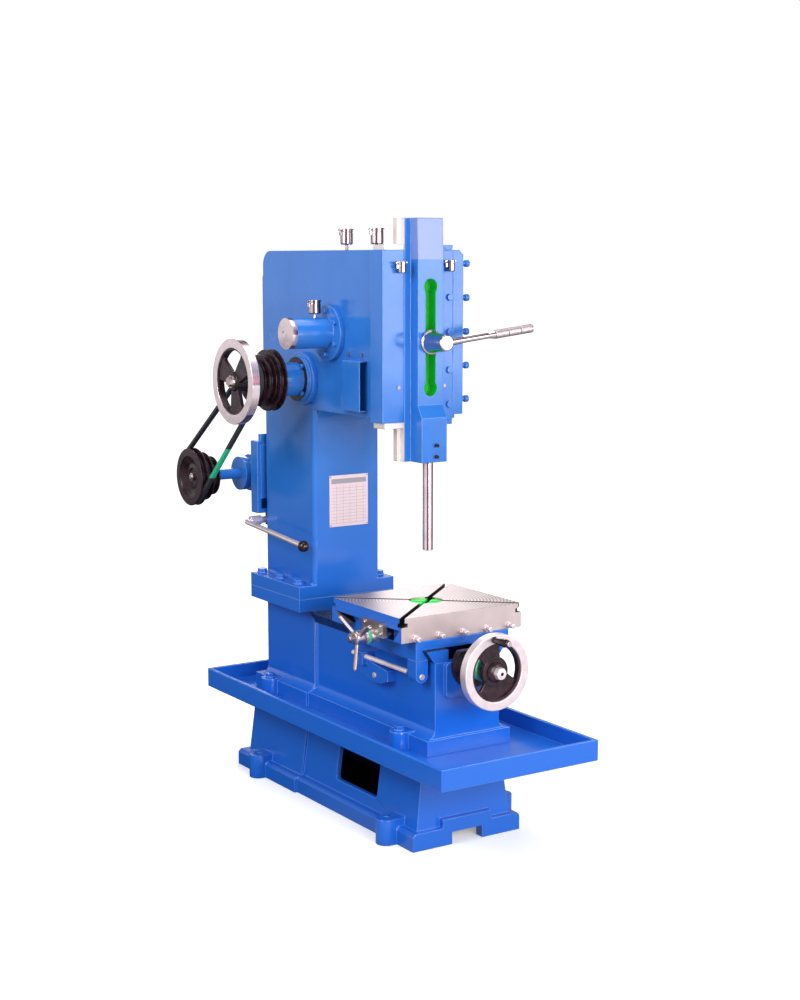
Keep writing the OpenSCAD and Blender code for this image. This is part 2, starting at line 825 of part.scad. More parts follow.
// Oil cups: place of the foot, then large or small
cup_top_rear = [-98, -15, head_top_z];
cup_top_front = [-98, -168, head_top_z];
cup_boss = [-column_half_w - 52, crank_y, crank_z + housing_r - boss_cup_seat];
cup_left = [-77, slide_front_y - 13, 1488];
cup_right = [78, slide_front_y - 13, 1492];

module cup_body(place, r, h, foot) {
  translate(place) {
    cylinder(r = cup_foot_r, h = foot + 1);
    translate([0, 0, foot]) difference() {
      cylinder(r = r, h = h);
      translate([0, 0, 3]) cylinder(r = r - 2.5, h = h);
    }
    translate([-r - 2, 0, foot + h - 9]) cube([6, 5, 10], center = true);
  }
}

// Flat lid with a hinge barrel on one side and a tab to lift it on the other
module cup_lid(place, r, h, foot) {
  z = foot + h + lid_gap;
  color(steel) translate(place) {
    translate([0, 0, z]) cylinder(r = r + 0.8, h = 3.5);
    translate([-r - 2.5, 0, z + 1.8]) cube([7, 6, 3.5], center = true);
    translate([-r - 6, 0, z]) rotate([90, 0, 0]) cylinder(r = 2, h = 6, center = true);
    translate([r + 1, 0, z + 1.8]) cube([6, 6, 3.5], center = true);
  }
}

module oil_cups() {
  color(steel) {
    for (place = [cup_top_rear, cup_top_front]) {
      cup_body(place, cup_r, top_cup_h, top_cup_foot);
    }
    cup_body(cup_boss, cup_r, cup_h, boss_cup_foot);
    for (place = [cup_left, cup_right]) {
      cup_body(place, small_cup_r, small_cup_h, 0);
      bar_y(slide_front_y - 4, slide_front_y, place[0], place[2] + 8, 5);
    }
  }
}

module oil_lid_top_rear() { cup_lid(cup_top_rear, cup_r, top_cup_h, top_cup_foot); }
module oil_lid_top_front() { cup_lid(cup_top_front, cup_r, top_cup_h, top_cup_foot); }
module oil_lid_boss() { cup_lid(cup_boss, cup_r, cup_h, boss_cup_foot); }
module oil_lid_left() { cup_lid(cup_left, small_cup_r, small_cup_h, 0); }
module oil_lid_right() { cup_lid(cup_right, small_cup_r, small_cup_h, 0); }

// Ram with its slot, drive channel and tool bore
module ram_front_profile() {
  polygon([[slide_front_y + 1, ram_bottom_z], [ram_foot_y, ram_bottom_z],
    [ram_foot_y, ram_step_low_z], [ram_face_y, ram_step_high_z], [ram_face_y, ram_crown_z],
    [ram_face_y + 4.5, ram_top_z], [slide_front_y + 1, ram_top_z]]);
}

module ram() {
  color(front_blue) difference() {
    union() {
      prism_x(-ram_face_half_w, ram_face_half_w) ram_front_profile();
      box([-ram_neck_half_w, slide_front_y, ram_bottom_z],
        [ram_neck_half_w, wing_back_y, ram_top_z]);
      box([-ram_wing_half_w, wing_front_y, ram_bottom_z],
        [ram_wing_half_w, wing_back_y, ram_top_z]);
    }
    box([-slot_half_w, ram_foot_y - 1, slot_low_z], [slot_half_w, channel_front_y + 1, slot_top_z]);
    for (z = [slot_low_z, slot_top_z]) {
      bar_y(ram_foot_y - 1, channel_front_y + 1, 0, z, slot_end_r);
    }
    box([-block_half_w - slide_gap, channel_front_y, channel_low_z],
      [block_half_w + slide_gap, wing_back_y + 1, channel_top_z]);
    bar_z(ram_bottom_z - 1, ram_bottom_z + tool_bar_in, 0, tool_y, tool_shank_r);
    for (z = tool_screw_zs) bar_y(ram_foot_y - 1, tool_y, tool_screw_x, z, 5);
  }
}

tool_screw_zs = [1007, 1037];
tool_screw_x = 5;

// Tool bar with a slightly thinner shank inside the ram
module tool_bar() {
  color(steel) {
    bar_z(ram_bottom_z - tool_bar_out, tool_shoulder_z, 0, tool_y, tool_bar_r);
    bar_z(tool_shoulder_z - 1, ram_bottom_z + tool_bar_in, 0, tool_y, tool_shank_r);
  }
}

module tool_screws() {
  reach = sqrt(tool_shank_r * tool_shank_r - tool_screw_x * tool_screw_x);
  color(dark) for (z = tool_screw_zs) {
    difference() {
      bar_y(ram_foot_y - 9, tool_y - reach - 1, tool_screw_x, z, 5);
      translate([tool_screw_x, ram_foot_y - 5, z]) rotate([90, 0, 0]) hex_head(5, 6);
    }
  }
}

// Block behind the ram slot, with the clamp bolt
clamp_bolt_r = 10;

module stroke_block() {
  strip_back_y = channel_front_y + 4.5;
  color(steel) {
    box([-block_half_w, strip_back_y, clamp_z - block_half_h],
      [block_half_w, wing_back_y - 1, clamp_z + block_half_h]);
    bar_y(ram_face_y - 26, strip_back_y + 1, 0, clamp_z, clamp_bolt_r);
  }
}

module slot_strip() {
  color(green) difference() {
    box([-block_half_w, channel_front_y + slide_gap, strip_low_z],
      [block_half_w, channel_front_y + 4.5, strip_top_z]);
    bar_y(channel_front_y - 1, channel_front_y + 6, 0, clamp_z, clamp_bolt_r + 0.1);
  }
}

module clamp_handle() {
  y0 = ram_face_y - slide_gap;
  y1 = y0 - clamp_len;
  grip_start = clamp_lever_len * 0.56;
  color(polished) difference() {
    union() {
      bar_y(y0 - 6, y0, 0, clamp_z, clamp_washer_r);
      translate([0, y0 - 5, clamp_z]) rotate([90, 0, 0])
        cylinder(r1 = clamp_washer_r - 3, r2 = 23, h = clamp_len - 14);
      bar_y(y1, y1 + 9.1, 0, clamp_z, 21.5);
      translate([0, y1 + 10, clamp_z]) rotate([0, 90 - clamp_lever_angle, 0]) {
        cylinder(r = clamp_lever_r, h = clamp_lever_len);
        translate([0, 0, grip_start - 12])
          cylinder(r1 = clamp_lever_r + 0.5, r2 = clamp_grip_r - 0.5, h = 12.1);
        translate([0, 0, grip_start])
          cylinder(r = clamp_grip_r, h = clamp_lever_len - grip_start);
      }
    }
    bar_y(ram_face_y - 28, y0 + 1, 0, clamp_z, clamp_bolt_r + run_gap);
  }
}

// Rocker that carries the crank motion to the ram, open at its two sliding joints
module rocker() {
  nose_y = pocket_back_y + 2.5;
  color(steel) difference() {
    union() {
      bar_x(-rocker_half_w, rocker_half_w, rocker_y, clamp_z, 38);
      prism_x(-rocker_half_w, rocker_half_w)
        polygon([[rocker_y, clamp_z - 34], [rocker_y, clamp_z + 34],
          [crank_y + 70, clamp_z + 34], [nose_y + 40, clamp_z + 22],
          [nose_y, clamp_z + 22], [nose_y, clamp_z - 22], [nose_y + 40, clamp_z - 22],
          [crank_y + 70, clamp_z - 34]]);
    }
    bar_x(-30, 30, rocker_y, clamp_z, 16 + run_gap);
    // slot in which the crank pin block works
    box([-30, crank_y - crank_throw - 22, clamp_z - 14.5],
      [-2, crank_y + crank_throw + 22, clamp_z + 14.5]);
  }
}

// Straight-flanked gear blank, teeth along the local Z axis
module gear_blank(teeth, width) {
  pitch_r = gear_module * teeth / 2;
  tip_r = pitch_r + gear_module * 0.85;
  root_r = pitch_r - gear_module * 1.25;
  step = 360 / teeth;
  points = [for (i = [0 : teeth - 1]) each [
    [root_r, i * step - step * 0.29], [pitch_r, i * step - step * 0.215],
    [tip_r, i * step - step * 0.115], [tip_r, i * step + step * 0.115],
    [pitch_r, i * step + step * 0.215], [root_r, i * step + step * 0.29]]];
  linear_extrude(width)
    polygon([for (p = points) [p[0] * cos(p[1]), p[0] * sin(p[1])]]);
}

// Angle of the line from the pinion to the bull gear, measured from +Y
mesh_angle = atan2(crank_z - drive_z, crank_y - drive_y);

module gear_at(y, z, teeth, phase, width) {
  translate([gear_x, y, z]) rotate([90, 0, 90]) rotate([0, 0, phase])
    gear_blank(teeth, width);
}

pin_dy = -sqrt(crank_throw * crank_throw - (crank_z - clamp_z) * (crank_z - clamp_z));

module bull_gear() {
  color(steel) difference() {
    union() {
      gear_at(crank_y, crank_z, bull_teeth, mesh_angle, gear_w);
      bar_x(-column_half_w - 126, gear_x + gear_w, crank_y, crank_z, crank_shaft_r);
      bar_x(gear_x - 14, gear_x + 1, crank_y, crank_z, 40);
      bar_x(gear_x + gear_w - 1, -rocker_half_w - 1, crank_y + pin_dy, clamp_z, 13);
    }
    for (i = [0 : 4]) {
      a = 36 + i * 72 + 90;
      bar_x(gear_x - 1, gear_x + gear_w + 1, crank_y + 108 * cos(a), crank_z + 108 * sin(a), 30);
    }
  }
}

module drive_shaft() {
  tooth_phase = mesh_angle + 180 / pinion_teeth;
  color(steel) {
    bar_x(flywheel_face_x - 6, column_half_w + 4, drive_y, drive_z, drive_shaft_r);
    gear_at(drive_y, drive_z, pinion_teeth, tooth_phase, gear_w);
    translate([flywheel_face_x - 13, drive_y, drive_z]) rotate([0, 90, 0]) hex_head(24, 9);
  }
}

// Three-step pulley around the local Z axis, largest step at z = 0
module step_pulley(bore_r, dish) {
  groove = 15;
  steps = [pulley_big_r, pulley_mid_r, pulley_small_r];
  difference() {
    union() {
      for (i = [0 : 2]) {
        translate([0, 0, i * pulley_step_w]) rotate_extrude()
          polygon([[0, 0], [steps[i] - 1.5, 0], [steps[i], 1.5], [steps[i], 3.5],
            [steps[i] - groove, pulley_step_w / 2 - 7],
            [steps[i] - groove, pulley_step_w / 2 + 7],
            [steps[i], pulley_step_w - 3.5], [steps[i], pulley_step_w - 1.5],
            [steps[i] - 1.5, pulley_step_w], [0, pulley_step_w]]);
      }
    }
    translate([0, 0, -1]) cylinder(r = bore_r, h = 3 * pulley_step_w + 2);
    if (dish > 0) {
      translate([0, 0, -1]) difference() {
        cylinder(r = 58, h = dish + 1);
        translate([0, 0, dish - 3]) cylinder(r = 24, h = dish);
      }
    }
  }
}

module drive_pulley() {
  color(dark) translate([pulley_inner_x, drive_y, drive_z]) rotate([0, -90, 0])
    step_pulley(drive_shaft_r, 0);
}

module motor_pulley() {
  color(dark) translate([pulley_end_x, motor_y, motor_z]) rotate([0, 90, 0])
    step_pulley(motor_shaft_r, 16);
  color(steel) {
    bar_x(pulley_end_x + 6, motor_left_x + 58, motor_y, motor_z, motor_shaft_r);
    translate([pulley_end_x + 1, motor_y, motor_z]) rotate([0, 90, 0]) hex_head(20, 6);
  }
}

module flywheel() {
  depth = 24;
  hub_len = pulley_end_x - flywheel_face_x - 1;
  rim_in = flywheel_r - 27;
  color(dark) translate([flywheel_face_x, drive_y, drive_z]) rotate([90, 0, 90]) {
    difference() {
      union() {
        rotate_extrude()
          polygon([[rim_in, 0], [flywheel_r - 3, 0], [flywheel_r, 3], [flywheel_r, depth - 3],
            [flywheel_r - 3, depth], [rim_in, depth]]);
        translate([0, 0, 5]) cylinder(r = rim_in + 1, h = 12);
        cylinder(r = 28, h = hub_len);
      }
      translate([0, 0, -1]) cylinder(r = drive_shaft_r, h = hub_len + 2);
      for (i = [0 : 2]) {
        rotate([0, 0, 83 + i * 120]) translate([0, 0, 4]) linear_extrude(14)
          wheel_window(30, rim_in - 2, 22, 38);
      }
    }
  }
}

// Opening between two spokes: from radius r0 to r1, half angles at the inner and outer edge
module wheel_window(r0, r1, a0, a1) {
  polygon(concat(
    [for (i = [0 : 2]) let (a = -a0 + i * a0) [r0 * cos(a), r0 * sin(a)]],
    [for (i = [0 : 8]) let (a = a1 - i * a1 / 4) [r1 * cos(a), r1 * sin(a)]]));
}

// Points of an arc about a centre in the Y-Z plane, from angle a0 to a1
function arc(centre, r, a0, a1) = [for (i = [0 : 30])
  let (a = a0 + (a1 - a0) * i / 30) [centre[0] + r * cos(a), centre[1] + r * sin(a)]];

// Belt line around two unequal circles in the Y-Z plane
module belt_outline(r_motor, r_drive) {
  dy = drive_y - motor_y;
  dz = drive_z - motor_z;
  a = atan2(dz, dy);
  b = acos((r_motor - r_drive) / sqrt(dy * dy + dz * dz));
  polygon(concat(arc([drive_y, drive_z], r_drive, a - b, a + b),
    arc([motor_y, motor_z], r_motor, a + b, a - b + 360)));
}

module v_belt() {
  big = pulley_big_r - belt_sink;
  small = pulley_small_r - belt_sink;
  color(dark) prism_x(belt_x - belt_w / 2, belt_x + belt_w / 2) difference() {
    belt_outline(big, small);
    belt_outline(big - belt_h, small - belt_h);
  }
}

// Motor on its swinging plate
motor_disc_x = -120;
motor_left_x = -84;
motor_right_x = 132;

module motor_plate() {
  color(blue) difference() {
    union() {
      box([-plate_half_w, plate_front_y, plate_bottom_z],
        [plate_half_w, plate_rear_y, plate_top_z]);
      box([-118, plate_front_y, plate_top_z - 1], [118, plate_front_y + 15, plate_top_z + 21]);
      for (x = [-52, 32]) {
        bar_x(x, x + 20, hinge_y, hinge_z, 15);
        box([x, hinge_y - 12, hinge_z], [x + 20, hinge_y + 15, plate_bottom_z + 1]);
      }
    }
    box([12 - plate_half_w, plate_front_y - 1, plate_bottom_z + 12],
      [plate_half_w - 12, plate_rear_y - 12, plate_top_z - 12]);
    bar_x(-60, 60, hinge_y, hinge_z, lever_shaft_r);
  }
}

module tension_lever() {
  elbow_x = -165;
  drop = 4.5;
  color(steel) {
    bar_x(elbow_x, hinge_ear_x + 36, hinge_y, hinge_z, lever_shaft_r);
    bar_x(-150, -114, hinge_y, hinge_z, lever_shaft_r + 4);
    translate([elbow_x, hinge_y, hinge_z]) {
      sphere(r = lever_shaft_r);
      rotate([90 + drop, 0, 0]) cylinder(r = tension_rod_r, h = tension_len - 8);
    }
  }
  color(dark) translate([elbow_x, hinge_y - tension_len * cos(drop),
    hinge_z - tension_len * sin(drop)]) sphere(r = ball_r);
}

module motor() {
  color(blue) difference() {
    union() {
      bar_x(motor_left_x + 8, motor_right_x, motor_y, motor_z, motor_r - 4);
      for (i = [0 : 23]) {
        a = i * 15;
        translate([motor_left_x + 20, motor_y, motor_z]) rotate([a, 0, 0])
          box([0, -1.5, 0], [motor_right_x - motor_left_x - 40, 1.5, motor_r]);
      }
      bar_x(motor_left_x, motor_left_x + 14, motor_y, motor_z, motor_r);
      bar_x(motor_disc_x + 22, motor_left_x + 1, motor_y, motor_z, 44);
      bar_x(motor_disc_x, motor_disc_x + 20, motor_y, motor_z, motor_disc_r);
      bar_x(motor_disc_x + 19, motor_disc_x + 23, motor_y, motor_z, 38);
      bar_x(motor_right_x - 1, motor_right_x + 52, motor_y, motor_z, motor_r);
      for (x = [-56, 84]) {
        box([x - 18, plate_rear_y, motor_z - 38], [x + 18, motor_y - 32, motor_z + 38]);
      }
      box([-32, motor_y - 30, motor_z + motor_r - 20], [58, motor_y + 36, motor_z + motor_r + 30]);
    }
    bar_x(motor_disc_x - 1, motor_left_x + 60, motor_y, motor_z, motor_shaft_r + run_gap);
  }
}

// Saddle between bed and table
module saddle_profile() {
  top = table_bottom_z;
  flank = (way_top_z - saddle_skirt_z) * way_slope;
  left = -way_top_half_w - slide_gap * 1.4;
  right = way_top_half_w + slide_gap * 2.4 + gib_t;
  polygon([[-saddle_half_w, saddle_skirt_z], [left + flank, saddle_skirt_z],
    [left, way_top_z + slide_gap], [right, way_top_z + slide_gap],
    [right - flank, saddle_skirt_z], [saddle_half_w, saddle_skirt_z],
    [saddle_half_w, top - slide_gap], [-saddle_half_w, top - slide_gap]]);
}

module saddle_dovetail() {
  low = table_bottom_z - slide_gap - 1;
  high = groove_top_z - slide_gap;
  run = (high - low) * groove_slope;
  front = groove_front_y + gib_t + slide_gap * 1.4;
  rear = groove_rear_y - slide_gap * 1.4;
  prism_x(-saddle_half_w, saddle_half_w)
    polygon([[front + 1, low], [rear - 1, low], [rear - 1 + run, high],
      [front + 1 - run, high]]);
}

module saddle() {
  color(blue) difference() {
    union() {
      prism_y(saddle_front_y, saddle_rear_y) saddle_profile();
      saddle_dovetail();
      box([-21, -300, feed_z - 20], [21, -256, way_top_z + 1]);
    }
    box([-saddle_half_w - 1, cross_y - 15, cross_z - 18],
      [-26, cross_y + 15, groove_top_z + 1]);
    box([26, cross_y - 15, cross_z - 18], [saddle_half_w + 1, cross_y + 15, groove_top_z + 1]);
    bar_x(-30, 30, cross_y, cross_z, cross_screw_r + slide_gap);
    bar_y(-310, -240, 0, feed_z, feed_screw_r + slide_gap);
  }
}

module saddle_gib() {
  top_x = way_top_half_w + slide_gap;
  depth = way_top_z - saddle_skirt_z;
  color(steel) prism_y(saddle_front_y, saddle_rear_y)
    polygon([[top_x - depth * way_slope, saddle_skirt_z], [top_x, way_top_z],
      [top_x + gib_t, way_top_z], [top_x + gib_t - depth * way_slope, saddle_skirt_z]]);
}

stop_z = 458;
stop_x = -131;
stop_rod_rear_y = -95;

// Ear under the left skirt of the saddle, holding the stop rod
module saddle_ear() {
  color(blue) difference() {
    union() {
      box([-saddle_half_w, saddle_front_y, stop_z], [-112, saddle_front_y + 40, saddle_skirt_z]);
      bar_y(saddle_front_y, saddle_front_y + 40, -130, stop_z, 18);
    }
    bar_y(saddle_front_y + 10, saddle_front_y + 41, stop_x, stop_z, stop_rod_r + 0.1);
  }
  color(steel) bar_y(saddle_front_y - 4, saddle_front_y, stop_x, stop_z - 1, 5.5);
}

// Rod with the nut that sets the stop
module stop_rod() {
  nut_y = saddle_front_y + 50;
  color(steel) {
    bar_y(saddle_front_y + 10, stop_rod_rear_y, stop_x, stop_z, stop_rod_r);
    bar_y(nut_y, nut_y + 9, stop_x, stop_z, stop_rod_r + 2.5);
  }
}

// Bracket on the left of the bed that guides the stop rod
bracket_out = 26;

module stop_bracket() {
  color(blue) difference() {
    union() {
      prism_x(-bed_half_w - bracket_out, -bed_half_w)
        polygon([[-263, 408], [-228, 396], [-183, 394], [-127, 408], [-127, 450], [-160, 450],
          [-263, 436]]);
      box([-143, -160, 436], [-bed_half_w, -127, 470]);
    }
    bar_y(-170, -120, stop_x, stop_z, stop_rod_r + slide_gap);
  }
  color(steel) bar_x(-bed_half_w - bracket_out - 4, -bed_half_w - bracket_out + 1, -200, 414, 6);
}

// Long feed: bearing flange, screw, dial and handwheel
feed_shaft_r = 9;

module feed_bearing() {
  color(dark) difference() {
    union() {
      bar_y(bearing_front_y, bed_front_y - 12, 0, feed_z, bearing_r);
      bar_y(bed_front_y - 13, bed_front_y + 20, 0, feed_z, 20);
    }
    bar_y(bearing_front_y - 1, bed_front_y + 30, 0, feed_z, feed_shaft_r + run_gap);
    // flat on top, under the saddle
    box([-bearing_r, bearing_front_y - 1, way_top_z - 1.5],
      [bearing_r, bed_front_y - 11, feed_z + bearing_r + 1]);
  }
  color(steel) for (x = [8 - bearing_r, bearing_r - 8]) {
    bar_y(bearing_front_y - 4, bearing_front_y, x, feed_z - 9, 5);
  }
}

module feed_screw() {
  color(steel) {
    bar_y(bed_front_y + 20.5, 110, 0, feed_z, feed_screw_r);
    bar_y(handwheel_face_y - 5, bed_front_y + 21, 0, feed_z, feed_shaft_r);
    translate([0, handwheel_face_y - 4, feed_z]) rotate([90, 0, 0]) hex_head(27, 14);
  }
}

module feed_dial() {
  color(dial_green) difference() {
    bar_y(handwheel_face_y + handwheel_hub_len, bearing_front_y - 4.5, 0, feed_z, 34);
    bar_y(handwheel_face_y + 40, bearing_front_y, 0, feed_z, feed_shaft_r + 0.1);
  }
}

// Two kidney windows of the handwheel: direction, then half angles at the hub and at the rim
handwheel_windows = [[28, 36, 50], [182, 30, 42]];

module handwheel() {
  color(dark) translate([0, handwheel_face_y, feed_z]) rotate([-90, 0, 0]) difference() {
    union() {
      rotate_extrude()
        polygon([[handwheel_inner_r, 2], [handwheel_inner_r + 4, 0], [handwheel_r - 5, 0],
          [handwheel_r, 5], [handwheel_r, handwheel_depth - 5],
          [handwheel_r - 5, handwheel_depth], [handwheel_inner_r, handwheel_depth - 2]]);
      translate([0, 0, 12]) cylinder(r = handwheel_inner_r + 1, h = 9);
      translate([0, 0, 2]) cylinder(r = 27, h = handwheel_hub_len - 2);
    }
    translate([0, 0, -1]) cylinder(r = feed_shaft_r, h = 60);
    for (window = handwheel_windows) {
      rotate([0, 0, -window[0]]) translate([0, 0, 11]) linear_extrude(11)
        wheel_window(36, handwheel_inner_r - 2, window[1], window[2]);
    }
    translate([grip_x, -grip_dz, -1]) cylinder(r = 4, h = 14);
  }
}

grip_x = -13;
grip_dz = 88;

module handwheel_grip() {
  color(dark) translate([grip_x, handwheel_face_y - 1, feed_z + grip_dz]) rotate([90, 0, 0]) {
    translate([0, 0, -9]) cylinder(r = 4 - run_gap, h = 12);
    cylinder(r = 8.5, h = 6);
    translate([0, 0, 5]) cylinder(r1 = 9, r2 = 10.5, h = 30);
    translate([0, 0, 34]) cylinder(r = 10.5, h = 28);
    translate([0, 0, 61]) cylinder(r = 6, h = 6);
  }
}

// Table with dovetail groove below and crossing T-slots on top
module groove_profile() {
  low = table_bottom_z - 1;
  run = (groove_top_z - low) * groove_slope;
  polygon([[groove_front_y + 1, low], [groove_rear_y - 1, low],
    [groove_rear_y - 1 + run, groove_top_z], [groove_front_y + 1 - run, groove_top_z]]);
}

module tslot_profile() {
  foot_h = 11;
  translate([-tslot_w / 2, -tslot_depth]) square([tslot_w, tslot_depth + 1]);
  translate([-tslot_foot_w / 2, -tslot_depth]) square([tslot_foot_w, foot_h]);
}

module table() {
  depth = table_rear_y - table_front_y;
  diagonal = sqrt(table_w * table_w + depth * depth);
  tilt = atan2(depth, table_w);
  color(steel) difference() {
    box([-table_w / 2, table_front_y, table_bottom_z], [table_w / 2, table_rear_y, table_top_z]);
    prism_x(-table_w / 2 - 1, table_w / 2 + 1) groove_profile();
    for (a = [tilt, -tilt]) {
      translate([0, table_mid_y, table_top_z]) rotate([0, 0, a - 90])
        prism_y(-diagonal / 2 - 20, diagonal / 2 + 20) tslot_profile();
    }
    bar_z(table_top_z - 14, table_top_z + 1, 0, table_mid_y, recess_r);
    for (x = table_screw_xs) {
      bar_y(table_front_y - 1, table_front_y + 34, x, table_screw_z, 4);
    }
  }
}

table_screw_xs = [for (i = [-2 : 2]) i * 75];
table_screw_z = table_bottom_z + 9.5;

module table_recess() {
  depth = table_rear_y - table_front_y;
  tilt = atan2(depth, table_w);
  color(green) difference() {
    bar_z(table_top_z - 14, table_top_z - 5, 0, table_mid_y, recess_r);
    for (a = [tilt, -tilt]) {
      translate([0, table_mid_y, table_top_z]) rotate([0, 0, a - 90])
        prism_y(-100, 100) tslot_profile();
    }
  }
}

module table_gib() {
  low = table_bottom_z + 1;
  high = groove_top_z - 1;
  run = (high - low) * groove_slope;
  front = groove_front_y + slide_gap - groove_slope;
  color(steel) prism_x(-saddle_half_w, saddle_half_w)
    polygon([[front, low], [front + gib_t - slide_gap, low],
      [front + gib_t - slide_gap - run, high], [front - run, high]]);
}

module table_gib_screws() {
  lock_y = table_front_y;
  seat_y = groove_front_y - (table_screw_z - table_bottom_z) * groove_slope;
  color(polished) for (x = table_screw_xs) {
    bar_y(lock_y - 22, seat_y - 3.7, x, table_screw_z, 4);
    translate([x, lock_y, table_screw_z]) rotate([90, 0, 0]) hex_head(14, 7);
  }
}

// Cross feed on the left end of the table
module cross_bearing() {
  x = -table_w / 2;
  color(steel) {
    difference() {
      union() {
        box([x - 13, cross_y - 50, cross_z + 1], [x, cross_y + 50, cross_z + 40]);
        bar_x(x - 24, x, cross_y, cross_z, cross_dial_r - 1);
      }
      bar_x(x - 30, x + 1, cross_y, cross_z, cross_screw_r + run_gap);
    }
    for (y = [cross_y - 38, cross_y + 38], z = [cross_z + 11, cross_z + 31]) {
      bar_x(x - 18, x - 12, y, z, 5.5);
    }
  }
}

module star_handle() {
  x = -table_w / 2 - 24.5;
  color(dial_green) difference() {
    bar_x(x - 11, x, cross_y, cross_z, cross_dial_r);
    bar_x(x - 12, x + 1, cross_y, cross_z, 8);
  }
  color(steel) {
    bar_x(x - 50, 150, cross_y, cross_z, cross_screw_r);
    bar_x(x - 12, x - 10.5, cross_y, cross_z, cross_dial_r);
    bar_x(x - 46, x - 11, cross_y, cross_z, cross_dial_r - 2);
    translate([x - 58, cross_y, cross_z]) rotate([0, 90, 0]) hex_head(22, 13);
    for (i = [0 : 2]) {
      translate([x - 33, cross_y, cross_z]) rotate([i * 120, 0, 0]) rotate([0, 186, 0])
        cylinder(r1 = 5.5, r2 = 6.3, h = star_arm_len);
    }
  }
}

base_casting();
chip_tray();
bed_casting();
bed_ways();
foot_bolts();
column_casting();
column_bolts();
rear_cover();
data_plate();
side_cover();
small_screws();
slideway();
keeper_plate();
keeper_bolts();
ram_gib();
gib_screws();
crank_housing();
crank_cap();
drive_housing();
housing_bolts();
shaft_cover();
pivot_pin();
oil_cups();
oil_lid_top_rear();
oil_lid_top_front();
oil_lid_boss();
oil_lid_left();
oil_lid_right();
ram();
tool_bar();
tool_screws();
stroke_block();
slot_strip();
clamp_handle();
rocker();
bull_gear();
drive_shaft();
drive_pulley();
flywheel();
v_belt();
motor_plate();
tension_lever();
motor();
motor_pulley();
saddle();
saddle_gib();
saddle_ear();
stop_rod();
stop_bracket();
feed_bearing();
feed_screw();
feed_dial();
handwheel();
handwheel_grip();
table();
table_recess();
table_gib();
table_gib_screws();
cross_bearing();
star_handle();
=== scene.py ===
"""Slotting machine: paint, machined faces, wheels, belt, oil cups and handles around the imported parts.

Lengths inside the functions are millimetres, and become metres where a mesh is made.
X points to the operator's right, -Y to the operator, Z up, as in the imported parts.
"""

import math

import bmesh
import bpy
import numpy as np
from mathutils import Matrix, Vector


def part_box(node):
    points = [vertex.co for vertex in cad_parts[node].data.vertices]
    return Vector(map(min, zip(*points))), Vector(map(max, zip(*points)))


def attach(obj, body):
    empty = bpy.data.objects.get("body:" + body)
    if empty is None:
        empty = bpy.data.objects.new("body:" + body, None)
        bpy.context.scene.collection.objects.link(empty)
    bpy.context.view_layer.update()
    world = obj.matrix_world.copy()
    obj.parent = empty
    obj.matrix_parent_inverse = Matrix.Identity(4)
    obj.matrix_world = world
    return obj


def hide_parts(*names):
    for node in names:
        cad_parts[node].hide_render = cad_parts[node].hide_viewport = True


bl_info = {
    "name": "Slotting machine",
    "version": (1, 0, 0),
    "blender": (4, 5, 0),
    "location": "View3D > Sidebar > Slotter",
    "description": "Dresses the packed slotting machine with paint, steel and detailed pieces",
    "category": "Add Mesh",
}

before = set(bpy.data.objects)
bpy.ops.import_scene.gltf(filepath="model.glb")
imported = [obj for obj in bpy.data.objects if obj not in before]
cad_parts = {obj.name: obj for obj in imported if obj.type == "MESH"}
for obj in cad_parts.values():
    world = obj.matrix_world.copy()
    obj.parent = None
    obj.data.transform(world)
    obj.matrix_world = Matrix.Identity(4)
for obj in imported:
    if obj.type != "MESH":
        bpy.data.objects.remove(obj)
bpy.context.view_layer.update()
MM = 0.001

LEFT, RIGHT, FRONT, BACK, UP = (-1, 0, 0), (1, 0, 0), (0, -1, 0), (0, 1, 0), (0, 0, 1)

# Axes of the long feed, along Y, and of the drive shaft, along X, mm
FEED_Z = 481.8
DRIVE_Y, DRIVE_Z = 198, 1190


# Colours and nodes

def linear(hex_colour):
    """sRGB hex to linear: c / 12.92 up to 0.04045, else ((c + 0.055) / 1.055) to the power 2.4."""
    values = [int(hex_colour[i:i + 2], 16) / 255 for i in (1, 3, 5)]
    return tuple(c / 12.92 if c <= 0.04045 else ((c + 0.055) / 1.055) ** 2.4 for c in values)


def shaded(colour, share, lift=0.0):
    """A linear colour times share, plus lift."""
    return tuple(c * share + lift for c in colour)


def add_node(tree, kind, *values, **settings):
    """One shader node with its settings. The values fill its inputs in order or, in a dict, by name or
    number. A value that is a socket, or a node for its first output, is linked. A colour gets alpha 1."""
    node = tree.nodes.new("ShaderNode" + kind)
    for key, value in settings.items():
        setattr(node, key, value)
    inputs = values[0] if values and isinstance(values[0], dict) else dict(enumerate(values))
    for key, value in inputs.items():
        socket = node.inputs[key]
        if isinstance(value, bpy.types.Node):
            value = value.outputs[0]
        if isinstance(value, bpy.types.NodeSocket):
            tree.links.new(value, socket)
        else:
            socket.default_value = (*value, 1.0) if socket.type == "RGBA" else value
    return node


def start_material(name):
    """A new material and its empty node tree."""
    material = bpy.data.materials.new(name)
    material.use_nodes = True
    material.node_tree.nodes.clear()
    return material, material.node_tree


def close_material(material, inputs, relief=None, normal=None):
    """Ends a material with its Principled shader. Relief is a height, its real depth in mm and a strength,
    on top of a normal if given."""
    tree = material.node_tree
    if relief:
        height, depth_mm, strength = relief
        raised = {"Height": height, "Distance": depth_mm * MM, "Strength": strength}
        if normal:
            raised["Normal"] = normal
        inputs["Normal"] = add_node(tree, "Bump", raised)
    add_node(tree, "OutputMaterial", add_node(tree, "BsdfPrincipled", inputs))
    return material


